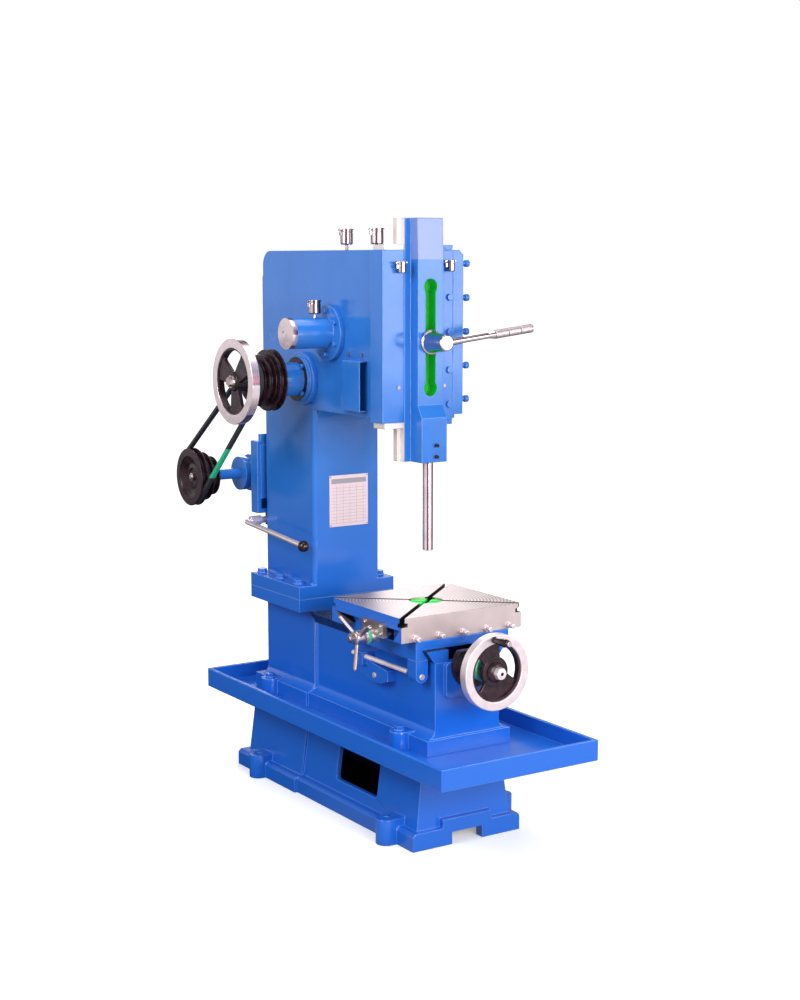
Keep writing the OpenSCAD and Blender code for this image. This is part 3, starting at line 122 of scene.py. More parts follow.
def place(tree, centre=(0, 0, 0), turn=(0, 0, 0), scale=(1, 1, 1)):
    """Object coordinates moved so that centre (mm) is the origin, then turned (degrees) and scaled."""
    here = add_node(tree, "TexCoord").outputs["Object"]
    moved = add_node(tree, "VectorMath", here, [c * MM for c in centre], operation="SUBTRACT")
    turned_by = [math.radians(angle) for angle in turn]
    return add_node(tree, "Mapping", {"Vector": moved, "Rotation": turned_by, "Scale": scale})


def axes(tree, centre=(0, 0, 0), turn=(0, 0, 0)):
    """X, Y and Z of Object coordinates from a centre (mm), in metres."""
    return add_node(tree, "SeparateXYZ", place(tree, centre, turn)).outputs[:3]


def spots(vector, size_mm, detail=3.0, roughness=0.5):
    """Inputs of a noise whose spots are about size_mm across."""
    return {"Vector": vector, "Scale": 1.0 / (size_mm * MM), "Detail": detail, "Roughness": roughness}


def drift(tree, vector, size_mm, low, high, out_low=0.0, out_high=1.0, detail=3):
    """Wanders from out_low, where a noise of size_mm is under low, to out_high, where it is over high."""
    pattern = add_node(tree, "TexNoise", spots(vector, size_mm, detail))
    return add_node(tree, "MapRange", pattern, low, high, out_low, out_high)


def combine(tree, operation, first, *others):
    """One value or mask from several: MULTIPLY for all of them, MAXIMUM for any."""
    if not others:
        return first
    return add_node(tree, "Math", first, combine(tree, operation, *others), operation=operation)


def lay(tree, colour, *coats):
    """A colour with coats laid over it in turn. Each coat is its mask and its colour."""
    for mask, coat in coats:
        colour = add_node(tree, "Mix", {0: mask, 6: colour, 7: coat}, data_type="RGBA").outputs[2]
    return colour


def inside(tree, value, low, high):
    """1 where value lies between low and high, both mm, else 0."""
    return combine(tree, "MULTIPLY", add_node(tree, "Math", value, low * MM, operation="GREATER_THAN"),
                   add_node(tree, "Math", value, high * MM, operation="LESS_THAN"))


def outside(tree, mask):
    """1 where a mask is 0, and 0 where it is 1."""
    return add_node(tree, "Math", 1.0, mask, operation="SUBTRACT")


def rounded_normal(tree, radius_mm):
    """Shading normal that rounds edges by radius_mm, and how far it leans from the face, 0 on flats."""
    normal = add_node(tree, "Bevel", {"Radius": radius_mm * MM}, samples=5)
    flat = add_node(tree, "NewGeometry").outputs["Normal"]
    along = add_node(tree, "VectorMath", normal, flat, operation="DOT_PRODUCT").outputs["Value"]
    return normal, add_node(tree, "MapRange", along, 0.99, 0.75, 0.0, 1.0)


# Finishes

def machine_enamel(name="machine_enamel", bare=None, slot=None, sheened=None):
    """Two-pack machine enamel sprayed over filled and rubbed grey iron: glossy, even blue with a slow drift
    of tone over a hand's width, and painted shade that turns it deeper and darker towards the bottom.
    Hollows of the filler, about 35 mm across, bend the reflections a little, and a painted highlight makes
    the enamel paler on the rounded edges. The function bare gives the mask of the machined faces left
    unpainted, slot that of the faces painted green, and sheened that of a painted sheen, pale paint for
    light."""
    colours = bpy.context.scene.slotter_colours
    material, tree = start_material(name)
    here = place(tree)
    normal, lean = rounded_normal(tree, 4.0)
    # painted shade: the enamel turns deeper and darker from 0.95 m down to 0.5 m
    low_shade = add_node(tree, "MapRange", axes(tree)[2], 0.95, 0.50, 0.0, 1.0)
    # the third coat is a painted highlight: paler enamel where the shading normal leans at the rounded edges
    coats = [(drift(tree, here, 150, 0.35, 0.65), colours.enamel_shade), (low_shade, colours.enamel_low_shaded),
             (combine(tree, "MULTIPLY", lean, 0.75), colours.enamel_edge_highlight)]
    gloss = drift(tree, here, 45, 0.3, 0.7, 0.13, 0.22, detail=4)
    metal = 0.0
    # painted sheen: paler paint standing in for light on the leaning top of the ram
    if sheened:
        coats.append((sheened(tree), colours.enamel_sheen))
    if slot:
        coats.append((slot(tree), colours.slot_green))
    if bare:
        mask = bare(tree)
        coats.append((mask, colours.pale_steel))
        metal = combine(tree, "MULTIPLY", mask, 0.45)
        gloss = combine(tree, "MAXIMUM", gloss, combine(tree, "MULTIPLY", mask, 0.42))
    hollows = add_node(tree, "TexNoise", spots(here, 35, 2))
    return close_material(material, {
        "Base Color": lay(tree, colours.enamel, *coats), "Roughness": gloss, "Metallic": metal, "IOR": 1.5},
        (hollows, 0.35, 0.22), normal)


def ground_steel():
    """Surface-ground mild steel: long fine scratches along X, spacing 0.5 mm drawn as 1.2 mm."""
    steel = bpy.context.scene.slotter_colours.steel
    material, tree = start_material("ground_steel")
    scratches = add_node(tree, "TexNoise", spots(place(tree, scale=(0.05, 1, 1)), 1.2, 4, 0.6))
    stain = drift(tree, place(tree), 45, 0.3, 0.7)
    return close_material(material, {
        "Base Color": lay(tree, steel, (stain, shaded(steel, 0.86))), "Metallic": 1.0,
        "Roughness": add_node(tree, "MapRange", scratches, 0.3, 0.7, 0.26, 0.40)}, (scratches, 0.02, 0.4))


def table_steel():
    """Milled table of cast iron: arcs of the face mill 9 mm apart round the middle of the table, T-slots
    along both diagonals whose faces are painted near black as painted shade, and enamel on the left end."""
    colours = bpy.context.scene.slotter_colours
    material, tree = start_material("face_milled_table")
    low, high = (tuple(c / MM for c in corner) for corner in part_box("table"))
    middle = (0, (low[1] + high[1]) / 2, 0)
    x, y, z = axes(tree)
    flat = add_node(tree, "VectorMath", place(tree, middle), (1, 1, 0), operation="MULTIPLY")
    away = add_node(tree, "VectorMath", flat, operation="LENGTH").outputs["Value"]
    wave = add_node(tree, "Math", combine(tree, "MULTIPLY", away, 2 * math.pi / (9 * MM)), operation="SINE")
    on_top = inside(tree, z, high[2] - 0.6, high[2] + 5)
    arcs = combine(tree, "MULTIPLY", on_top, add_node(tree, "MapRange", wave, 0.0, 0.8, 0, 1))
    fine = add_node(tree, "TexNoise", spots(place(tree), 3))
    # distance from each diagonal: |p . n| with n square to the line between two corners
    across = unit((low[1] - high[1], high[0] - low[0], 0))
    slots = []
    for side in (1, -1):
        away = add_node(tree, "VectorMath", place(tree, middle), (across[0] * side, across[1], 0),
                        operation="DOT_PRODUCT").outputs["Value"]
        slots.append(inside(tree, add_node(tree, "Math", away, operation="ABSOLUTE"), -1, 13.4))
    edge = combine(tree, "MAXIMUM", inside(tree, add_node(tree, "Math", x, operation="ABSOLUTE"),
                                           high[0] - 0.4, high[0] + 5),
                   inside(tree, y, low[1] - 5, low[1] + 0.4), inside(tree, y, high[1] - 0.4, high[1] + 5))
    # faces inside the T-slots, painted near black as painted shade
    shaded_slot_walls = combine(tree, "MULTIPLY", combine(tree, "MAXIMUM", *slots), inside(tree, z, 0, high[2] - 1.0),
                    outside(tree, edge))
    # the left end takes the deeper enamel used as painted shade low down
    painted = inside(tree, x, low[0] - 5, low[0] + 0.4)
    tone = lay(tree, colours.steel,
               (drift(tree, place(tree), 60, 0.35, 0.65, 0.0, 0.35), shaded(colours.steel, 0.7)),
               (combine(tree, "MULTIPLY", arcs, 0.85), shaded(colours.steel, 0.30)),
               (shaded_slot_walls, linear("#15100F")), (painted, colours.enamel_low_shaded))
    metal = outside(tree, combine(tree, "MAXIMUM", painted, shaded_slot_walls))
    height = add_node(tree, "Math", arcs, combine(tree, "MULTIPLY", fine, 0.2), operation="ADD")
    return close_material(material, {
        "Base Color": tone, "Metallic": combine(tree, "MULTIPLY", metal, 0.85),
        "Roughness": add_node(tree, "MapRange", fine, 0.3, 0.7, 0.38, 0.47)},
        (height, 0.03, 0.4), rounded_normal(tree, 0.8)[0])


def turned_steel(name, centre, axis, roughness=0.16, streaks=0.0, shade=1.0, metal=1.0):
    """Bright turned steel: rings round the axis about 0.8 mm apart, with a thin film of oil. streaks is how
    dark the painted reflections are, lengthwise streaks where sin(6 angle + drift) is above 0, on faces that
    look away from the axis. shade scales the colour, painting one steel lighter or darker as the part is lit,
    and metal below 1 keeps some of it matt."""
    colours = bpy.context.scene.slotter_colours
    bright = shaded(colours.bright_steel, shade)
    material, tree = start_material(name)
    here = place(tree, centre)
    axis = [float(abs(part)) for part in axis]
    radial = add_node(tree, "VectorMath", here, [1.0 - part for part in axis], operation="MULTIPLY")
    radius = add_node(tree, "VectorMath", radial, operation="LENGTH").outputs["Value"]
    along = add_node(tree, "VectorMath", here, axis, operation="DOT_PRODUCT").outputs["Value"]
    lines = add_node(tree, "TexNoise", spots(add_node(tree, "CombineXYZ", radius, along), 0.8, 3, 0.6))
    coats = [(drift(tree, here, 25, 0.35, 0.65), shaded(bright, 0.86))]
    # painted reflection: dark plum streaks on faces that look away from the axis
    if streaks:
        heading = add_node(tree, "VectorMath", radial, operation="NORMALIZE")
        wander = add_node(tree, "TexNoise", {"Vector": heading, "Scale": 1.5, "Detail": 1.0})
        parts = add_node(tree, "SeparateXYZ", radial).outputs
        angle = add_node(tree, "Math", *[parts[i] for i in range(3) if not axis[i]], operation="ARCTAN2")
        phase = add_node(tree, "Math", combine(tree, "MULTIPLY", angle, 6.0),
                         combine(tree, "MULTIPLY", wander, 9.0), operation="ADD")
        wave = add_node(tree, "Math", phase, operation="SINE")
        normal = add_node(tree, "NewGeometry").outputs["Normal"]
        facing = add_node(tree, "VectorMath", normal, axis, operation="DOT_PRODUCT").outputs["Value"]
        facing = add_node(tree, "Math", facing, operation="ABSOLUTE")
        coats.append((combine(tree, "MULTIPLY", add_node(tree, "MapRange", facing, 0.3, 0.7, streaks, 0.0),
                              add_node(tree, "MapRange", wave, -0.1, 0.5, 0.0, 1.0)),
                      shaded(colours.steel_dark_reflection, shade)))
    return close_material(material, {
        "Base Color": lay(tree, bright, *coats), "Metallic": metal,
        "Roughness": add_node(tree, "MapRange", lines, 0.3, 0.7, roughness - 0.05, roughness + 0.08)},
        (lines, 0.01, 0.35))


def knurled_steel(centre, turn):
    """Knurled bright steel: diamonds 1.6 mm across, drawn as 2.4 mm, round the local X axis."""
    bright = bpy.context.scene.slotter_colours.bright_steel
    material, tree = start_material("knurled_steel")
    x, y, z = axes(tree, centre, turn)
    angle = combine(tree, "MULTIPLY", add_node(tree, "Math", y, z, operation="ARCTAN2"), 26.0)
    length = combine(tree, "MULTIPLY", x, 2 * math.pi / (2.4 * MM))
    grooves = [add_node(tree, "Math", add_node(tree, "Math", angle, length, operation=way), operation="SINE")
               for way in ("ADD", "SUBTRACT")]
    diamonds = combine(tree, "MAXIMUM", *grooves)
    # the crossing lines of the knurl are painted darker
    darker_lines = add_node(tree, "MapRange", diamonds, 0.2, 1.0, 0.0, 0.6)
    return close_material(material, {
        "Base Color": lay(tree, bright, (darker_lines, shaded(bright, 0.45))), "Metallic": 1.0, "Roughness": 0.3},
        (diamonds, 0.25, 0.6))


def black_cast_paint():
    """Black stoving lacquer over cast iron: nearly black with a plum-brown drift, half gloss, with shallow
    pits about 5 mm across."""
    colours = bpy.context.scene.slotter_colours
    material, tree = start_material("black_cast_paint")
    here = place(tree)
    tone = lay(tree, colours.black_lacquer, (drift(tree, here, 22, 0.38, 0.62), colours.lacquer_drift))
    pits = add_node(tree, "TexNoise", spots(here, 5, 2))
    return close_material(material, {
        "Base Color": tone, "Roughness": drift(tree, here, 9, 0.3, 0.7, 0.22, 0.36), "IOR": 1.36},
        (pits, 0.05, 0.15))


def belt_rubber():
    """V-belt: fabric-wrapped black rubber with a fine cross weave and a green band, bare, on its front run.
    The band lies between two heights and in front of the line y + 1.2484 z = 1677.5 mm, which is parallel to
    the runs of the belt and lies between them."""
    colours = bpy.context.scene.slotter_colours
    material, tree = start_material("belt_rubber")
    here = place(tree)
    y, z = axes(tree)[1:]
    between = add_node(tree, "Math", y, combine(tree, "MULTIPLY", z, 1.2484), operation="ADD")
    band = combine(tree, "MULTIPLY", inside(tree, z, 890, 985),
                   add_node(tree, "Math", between, 1677.5 * MM, operation="LESS_THAN"))
    weave = add_node(tree, "TexNoise", spots(here, 1.4, 2))
    threads = add_node(tree, "MapRange", weave, 0.3, 0.7, 0.0, 1.0)
    tone = lay(tree, colours.rubber, (threads, shaded(colours.rubber, 2.0, 0.002)), (band, colours.belt_band))
    return close_material(material, {
        "Base Color": tone, "Roughness": add_node(tree, "MapRange", weave, 0.3, 0.7, 0.55, 0.75)},
        (weave, 0.1, 0.5))


def moulded_plastic():
    """Phenolic plastic, moulded and polished, for the ball knob and the wheel's grip: near black, glossy."""
    plastic = bpy.context.scene.slotter_colours.plastic
    material, tree = start_material("moulded_phenolic")
    here = place(tree)
    flow = add_node(tree, "TexNoise", spots(here, 12, 2))
    return close_material(material, {
        "Base Color": lay(tree, plastic, (flow, shaded(plastic, 1.7, 0.003))), "IOR": 1.45,
        "Roughness": drift(tree, here, 6, 0.3, 0.7, 0.08, 0.18, detail=2)})


def bright_paint(name, colour):
    """Hand-brushed satin paint over iron: a clear colour with brush drift."""
    material, tree = start_material(name)
    here = place(tree)
    bristles = add_node(tree, "TexNoise", spots(here, 5, 2))
    return close_material(material, {
        "Base Color": lay(tree, colour, (drift(tree, here, 30, 0.3, 0.7), shaded(colour, 0.78))),
        "Roughness": drift(tree, here, 8, 0.3, 0.7, 0.45, 0.60), "IOR": 1.4}, (bristles, 0.1, 0.3))


def graduated_dial(name, centre, axis_index, divisions):
    """Green anodised dial with engraved, white-filled graduation lines round its edge."""
    green = bpy.context.scene.slotter_colours.dial
    material, tree = start_material(name)
    parts = axes(tree, centre)
    del parts[axis_index]
    turns = add_node(tree, "Math", add_node(tree, "Math", *parts, operation="ARCTAN2"), 2 * math.pi,
                     operation="DIVIDE")
    cell = add_node(tree, "Math", combine(tree, "MULTIPLY", turns, float(divisions)), operation="FRACT")
    marks = add_node(tree, "Math", cell, 0.16, operation="LESS_THAN")
    brush = add_node(tree, "TexNoise", spots(place(tree, centre), 2.5))
    return close_material(material, {
        "Base Color": lay(tree, green,
                          (add_node(tree, "MapRange", brush, 0.3, 0.7, 0, 1), shaded(green, 0.7)),
                          (combine(tree, "MULTIPLY", marks, 0.75), (0.75, 0.8, 0.78))),
        "Metallic": 0.25, "Roughness": add_node(tree, "MapRange", brush, 0.3, 0.7, 0.26, 0.4)})


def etched_plate():
    """Brushed aluminium plate with a ruled, empty table etched in grey, lines 0.9 mm wide."""
    material, tree = start_material("etched_plate")
    low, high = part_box("data_plate")
    x, _, z = axes(tree, [c / MM for c in low])
    width, height = (high.x - low.x) / MM, (high.z - low.z) / MM

    def rules(value, pitch):
        """Lines 0.9 mm wide, a pitch apart."""
        step = add_node(tree, "Math", value, pitch * MM, operation="MODULO")
        return add_node(tree, "Math", step, 0.9 * MM, operation="LESS_THAN")

    def area(bottom, top):
        """Between two heights, 6 mm in from both sides."""
        return combine(tree, "MULTIPLY", inside(tree, x, 6, width - 6), inside(tree, z, bottom, top))

    ruled = combine(tree, "MULTIPLY", area(8, height - 30),
                    combine(tree, "MAXIMUM", rules(z, 9.2), rules(x, 22.5)))
    marks = combine(tree, "MAXIMUM", ruled, area(height - 24, height - 10))
    brush = add_node(tree, "TexNoise", spots(place(tree, scale=(0.06, 1, 1)), 1.5))
    return close_material(material, {
        "Base Color": lay(tree, linear("#DAC6CC"), (brush, linear("#BCA7AE")),
                          (combine(tree, "MULTIPLY", marks, 0.75), linear("#6F7480"))),
        "Metallic": 0.6, "Roughness": add_node(tree, "MapRange", brush, 0.3, 0.7, 0.35, 0.5)})


def raw_iron():
    """Machined cast iron inside the head: dark grey, slightly oily, with a mottled grain of 8 mm."""
    material, tree = start_material("raw_iron")
    grain = add_node(tree, "TexNoise", spots(place(tree), 8, 4))
    return close_material(material, {
        "Base Color": lay(tree, linear("#5C5D5F"), (grain, linear("#8B8A88"))), "Metallic": 0.9,
        "Roughness": add_node(tree, "MapRange", grain, 0.3, 0.7, 0.35, 0.55)}, (grain, 0.1, 0.3))


def oiled_ways(name="oiled_ways", painted_before=None):
    """Scraped and oiled dovetail ways: dark steel with crescent marks about 9 mm across. Past painted_before
    (mm along Y, towards the operator) the end face carries the enamel."""
    material, tree = start_material(name)
    marks = add_node(tree, "TexVoronoi", {"Vector": place(tree), "Scale": 1 / (9 * MM)}).outputs["Distance"]
    coats = [(add_node(tree, "MapRange", marks, 0.1, 0.6, 0, 1), linear("#434248"))]
    metal = 1.0
    if painted_before is not None:
        painted = add_node(tree, "Math", axes(tree)[1], painted_before * MM, operation="LESS_THAN")
        # the end face takes the deeper enamel used as painted shade low down
        coats.append((painted, bpy.context.scene.slotter_colours.enamel_low_shaded))
        metal = outside(tree, painted)
        marks = combine(tree, "MULTIPLY", marks, metal)
    return close_material(material, {
        "Base Color": lay(tree, linear("#6E6C70"), *coats), "Metallic": metal,
        "Roughness": add_node(tree, "MapRange", marks, 0.1, 0.6, 0.20, 0.34)}, (marks, 0.03, 0.3))


def studio_paper():
    """Matt paper, painted near black under the base as painted shade, lifted to white away from the machine.
    The faces mirror a floor that is bright in front of the machine and far away."""
    material, tree = start_material("studio_paper")
    rays = add_node(tree, "LightPath").outputs
    seen, mirrored = rays["Is Camera Ray"], rays["Is Glossy Ray"]
    x, y, _ = axes(tree)
    # painted shade: the floor under the base is painted near black and gets no glow
    under = combine(tree, "MULTIPLY", inside(tree, x, -148, 148), inside(tree, y, -300, 465))
    paper = lay(tree, (0.30, 0.30, 0.31), (seen, (0.86, 0.86, 0.87)),
                (combine(tree, "MAXIMUM", under, mirrored), (0.004, 0.004, 0.004)))
    away = add_node(tree, "VectorMath", place(tree), operation="LENGTH").outputs["Value"]
    mirror = combine(tree, "MAXIMUM", add_node(tree, "MapRange", away, 1.2, 20.0, 0.0, 0.9),
                     add_node(tree, "MapRange", y, 0.2, -0.9, 0.0, 0.85))
    white = combine(tree, "MULTIPLY", seen, add_node(tree, "MapRange", away, 0.9, 5.0, 0.30, 0.75))
    lift = add_node(tree, "Math", white, combine(tree, "MULTIPLY", mirrored, mirror), operation="ADD")
    lift = combine(tree, "MULTIPLY", lift, outside(tree, under))
    glow = add_node(tree, "Emission", {"Color": (1, 1, 1), "Strength": lift})
    matt = add_node(tree, "BsdfPrincipled", {"Base Color": paper, "Roughness": 0.9})
    add_node(tree, "OutputMaterial", add_node(tree, "AddShader", matt, glow))
    return material


def studio_world():
    """Soft light from all round, seen as a white room with a darker ceiling and a darker wall behind the
    machine, for the metals."""
    world = bpy.data.worlds.new("studio_world")
    world.use_nodes = True
    tree = world.node_tree
    tree.nodes.clear()
    rays = add_node(tree, "LightPath").outputs
    seen = combine(tree, "MAXIMUM", rays["Is Camera Ray"], rays["Is Glossy Ray"], rays["Is Transmission Ray"])
    direction = add_node(tree, "TexCoord").outputs["Generated"]
    height = add_node(tree, "SeparateXYZ", direction).outputs[2]
    rear_wall = (0.548, 0.837, 0.0)
    rear = add_node(tree, "VectorMath", direction, rear_wall, operation="DOT_PRODUCT").outputs["Value"]
    soft = add_node(tree, "Background", {
        "Color": (1, 1, 1), "Strength": add_node(tree, "MapRange", height, -0.1, 0.7, 0.32, 0.52)})
    room = combine(tree, "MULTIPLY", add_node(tree, "MapRange", height, 0.12, 0.60, 1.0, 0.16),
                   add_node(tree, "MapRange", rear, 0.60, 0.96, 1.0, 0.55))
    white = add_node(tree, "Background", {
        "Color": (1, 1, 1), "Strength": combine(tree, "MAXIMUM", room, rays["Is Camera Ray"])})
    add_node(tree, "OutputWorld", add_node(tree, "MixShader", seen, soft, white))
    return world


# Surfaces

def unit(vector):
    """The vector at length 1."""
    vector = np.asarray(vector, float)
    return vector / np.linalg.norm(vector)


def surface(points, wrap_u=False):
    """Quads over a grid of points, rows by columns by 3: each joins a point to the next row and column,
    round the columns, and round the rows too with wrap_u."""
    rows, columns = points.shape[:2]
    index = np.arange(rows * columns).reshape(rows, columns)
    first = index if wrap_u else index[:-1]
    second = np.roll(index, -1, 0) if wrap_u else index[1:]
    quads = [first, np.roll(first, -1, 1), np.roll(second, -1, 1), second]
    return points.reshape(-1, 3), np.stack(quads, -1).reshape(-1, 4)


def together(surfaces):
    """Several surfaces as one: points stacked, and each surface's face numbers moved up by those before."""
    starts = np.cumsum([0] + [len(points) for points, _ in surfaces[:-1]])
    return (np.vstack([points for points, _ in surfaces]),
            np.vstack([faces + start for (_, faces), start in zip(surfaces, starts)]))


def soften(profile, radius, closed=False, steps=4):
    """Rounds each corner P of a profile between A and B: the curve (1-s)^2 P1 + 2 s (1-s) P + s^2 P2,
    with P1 and P2 on PA and PB at the radius, or at 0.45 of the side where that is shorter."""
    points = np.asarray(profile, float)
    before, after = np.roll(points, 1, 0), np.roll(points, -1, 0)

    def cut(other):
        """Point on the side towards the other corner where the curve starts."""
        side = other - points
        length = np.maximum(np.linalg.norm(side, axis=1, keepdims=True), 1e-9)
        return points + side / length * np.minimum(radius, 0.45 * length)

    s = np.linspace(0, 1, steps + 1)[None, :, None]
    p1, p2, p = cut(before)[:, None], cut(after)[:, None], points[:, None]
    curves = (1 - s) ** 2 * p1 + 2 * s * (1 - s) * p + s ** 2 * p2
    if closed:
        return curves.reshape(-1, 2)
    return np.vstack([points[:1], curves[1:-1].reshape(-1, 2), points[-1:]])


def ring_round(axis, t):
    """The axis at length 1, and the directions u cos t + v sin t, with u and v square to it."""
    axis = unit(axis)
    u = unit(np.cross(axis, UP if abs(axis[2]) < 0.9 else RIGHT))
    v = np.cross(axis, u)
    return axis, np.cos(t)[:, None] * u + np.sin(t)[:, None] * v


def revolve(profile, centre, axis, segments, closed=False):
    """Turned part: a profile point (a, r) at angle t goes to centre + a axis + r (u cos t + v sin t),
    u and v square to the axis. A closed profile makes a ring."""
    profile = np.asarray(profile, float)
    axis, ring = ring_round(axis, np.linspace(0, 2 * np.pi, segments, endpoint=False))
    points = (np.asarray(centre, float) + profile[:, 0, None, None] * axis
              + profile[:, 1, None, None] * ring[None])
    return surface(points, wrap_u=closed)


def turned(profile, rounding, centre, axis, segments, closed=False, steps=4):
    """Turned part from a profile with rounded corners."""
    return revolve(soften(profile, rounding, closed, steps), centre, axis, segments, closed)


def sweep(path, section, up, sizes=None, closed=False):
    """Bar: a section point (p, q) at a path point goes to path + size (p side + q normal), side square to
    the path and to up. Sizes of 0 at both ends close the bar."""
    path, section = np.asarray(path, float), np.asarray(section, float)
    ahead, behind = np.roll(path, -1, 0), np.roll(path, 1, 0)
    if not closed:
        ahead[-1], behind[0] = path[-1], path[0]
    tangent = ahead - behind
    tangent /= np.maximum(np.linalg.norm(tangent, axis=1, keepdims=True), 1e-9)
    side = np.cross(tangent, np.asarray(up, float))
    side /= np.linalg.norm(side, axis=1, keepdims=True)
    normal = np.cross(side, tangent)
    size = np.ones(len(path)) if sizes is None else np.asarray(sizes, float)
    points = path[:, None] + size[:, None, None] * (
        section[None, :, :1] * side[:, None] + section[None, :, 1:] * normal[:, None])
    return surface(points, wrap_u=closed)


def capped(path):
    """Path with its two ends doubled and sizes that close them: 0, 1, ..., 1, 0."""
    path = np.asarray(path, float)
    first_step, last_step = unit(path[1] - path[0]) * 0.01, unit(path[-1] - path[-2]) * 0.01
    return (np.vstack([path[:1] - first_step, path, path[-1:] + last_step]),
            np.concatenate([[0], np.ones(len(path)), [0]]))


def rectangle(half_width, half_height):
    """Corners of a rectangle about the origin."""
    return [(-half_width, -half_height), (half_width, -half_height), (half_width, half_height),
            (-half_width, half_height)]


def circle(radius, count):
    """Points of a circle about the origin."""
    t = np.linspace(0, 2 * np.pi, count, endpoint=False)
    return np.stack([radius * np.cos(t), radius * np.sin(t)], -1)


def hexagon(flats, height, centre, axis, per_side=8):
    """Hexagon head: radius at angle t is flats / 2 / cos(t mod 60 - 30). The top edge falls by 0.577 times
    what the radius passes the crown's, 0.96 of half the flats, as a turned chamfer of 30 degrees does."""
    t = np.radians(np.arange(6 * per_side) * 60 / per_side)
    axis, ring = ring_round(axis, t)
    r = flats / 2 / np.cos(np.mod(t, np.pi / 3) - np.pi / 6)
    inner = np.full_like(r, flats / 2 * 0.96)
    zero = np.zeros_like(r)
    radii = np.stack([zero, r, r, inner, zero])
    heights = np.stack([zero, zero, height - (r - inner) * 0.577, zero + height, zero + height])
    return surface(np.asarray(centre, float) + heights[..., None] * axis + radii[..., None] * ring[None])


def make_piece(name, geometry, material, body, replaced=()):
    """Mesh object at the origin from a surface: doubles merged, normals outwards, faces smooth up to 38
    degrees and their normals weighted by area, riding on a body."""
    points, faces = geometry
    mesh = bpy.data.meshes.new(name)
    mesh.from_pydata((points * MM).tolist(), [], faces.tolist())
    block = bmesh.new()
    block.from_mesh(mesh)
    bmesh.ops.remove_doubles(block, verts=block.verts, dist=2e-6)
    bmesh.ops.dissolve_degenerate(block, edges=block.edges, dist=1e-6)
    bmesh.ops.recalc_face_normals(block, faces=block.faces)
    block.to_mesh(mesh)
    block.free()
    mesh.polygons.foreach_set("use_smooth", np.ones(len(mesh.polygons), bool))
    mesh.set_sharp_from_angle(angle=math.radians(38))
    mesh.materials.append(material)
    piece = bpy.data.objects.new(name, mesh)
    bpy.context.scene.collection.objects.link(piece)
    weighted = piece.modifiers.new("area weighted normals", "WEIGHTED_NORMAL")
    weighted.keep_sharp = True
    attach(piece, body)
    if replaced:
        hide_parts(*replaced)


def dress(names, material, edge=0.0):
    """Gives CAD nodes a material. With an edge width (mm) their sharp edges are rounded by modifiers."""
    for name in names:
        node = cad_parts[name]
        node.data.materials.clear()
        node.data.materials.append(material)
        if edge:
            weld = node.modifiers.new("joined facets", "WELD")
            weld.merge_threshold = 2e-6
            rounded = node.modifiers.new("rounded edges", "BEVEL")
            rounded.width = edge * MM
            rounded.segments = 3
            rounded.limit_method = "ANGLE"
            rounded.angle_limit = math.radians(40)
            rounded.harden_normals = True
            rounded.use_clamp_overlap = True


def wheel_web(centre, axis, zero, hub, rim, depth, thickness, sectors):
    """Web of a cast wheel, left solid between its windows. Each sector is a plate that runs from the hub's
    radius to the rim's: at share s of the way its two edges lie at angles on the straight line from the
    hub's to the rim's, both moved out by 8 (|2 s - 1|^3 - 0.4) degrees. Across the plate the section is flat,
    with each end a half ellipse, 0.08 of the half width deep.
    sectors holds (first and last edge at the hub, first and last at the rim), in degrees from zero towards
    axis x zero."""
    axis, zero = unit(axis), unit(zero)
    cross = np.cross(axis, zero)
    share = np.linspace(0, 1, 33)[:, None]
    flat, end = 0.92, 0.08
    run = np.linspace(-flat, flat, 25)
    turn = np.linspace(np.pi / 2, -np.pi / 2, 9)[1:-1]
    p = np.concatenate([run, flat + end * np.cos(turn), -run, -flat - end * np.cos(turn)])[None]
    q = np.concatenate([np.ones(25), np.sin(turn), -np.ones(25), -np.sin(turn)])[None, :, None]
    spread = 8 * (np.abs(2 * share - 1) ** 3 - 0.4)
    radius = (hub + (rim - hub) * share)[..., None]
    made = []
    for first_hub, last_hub, first_rim, last_rim in sectors:
        first = first_hub + (first_rim - first_hub) * share - spread
        last = last_hub + (last_rim - last_hub) * share + spread
        angle = np.radians((first + last) / 2 + (last - first) / 2 * p)[..., None]
        points = (np.asarray(centre, float) + radius * (np.cos(angle) * zero + np.sin(angle) * cross)
                  + (depth + thickness / 2 * q) * axis)
        first_end, last_end = [np.repeat(row.mean(0)[None, None], points.shape[1], 1)
                               for row in (points[0], points[-1])]
        made.append(surface(np.concatenate([first_end, points, last_end])))
    return made


# Sizes and colours that a user may change

def colour(name, description, default):
    """Property for a colour, its default an sRGB hex."""
    return bpy.props.FloatVectorProperty(
        name=name, description=description, subtype="COLOR", size=3, default=linear(default))


def length(name, description, default):
    """Property for a length, its default in metres."""
    return bpy.props.FloatProperty(name=name, description=description, unit="LENGTH", default=default)


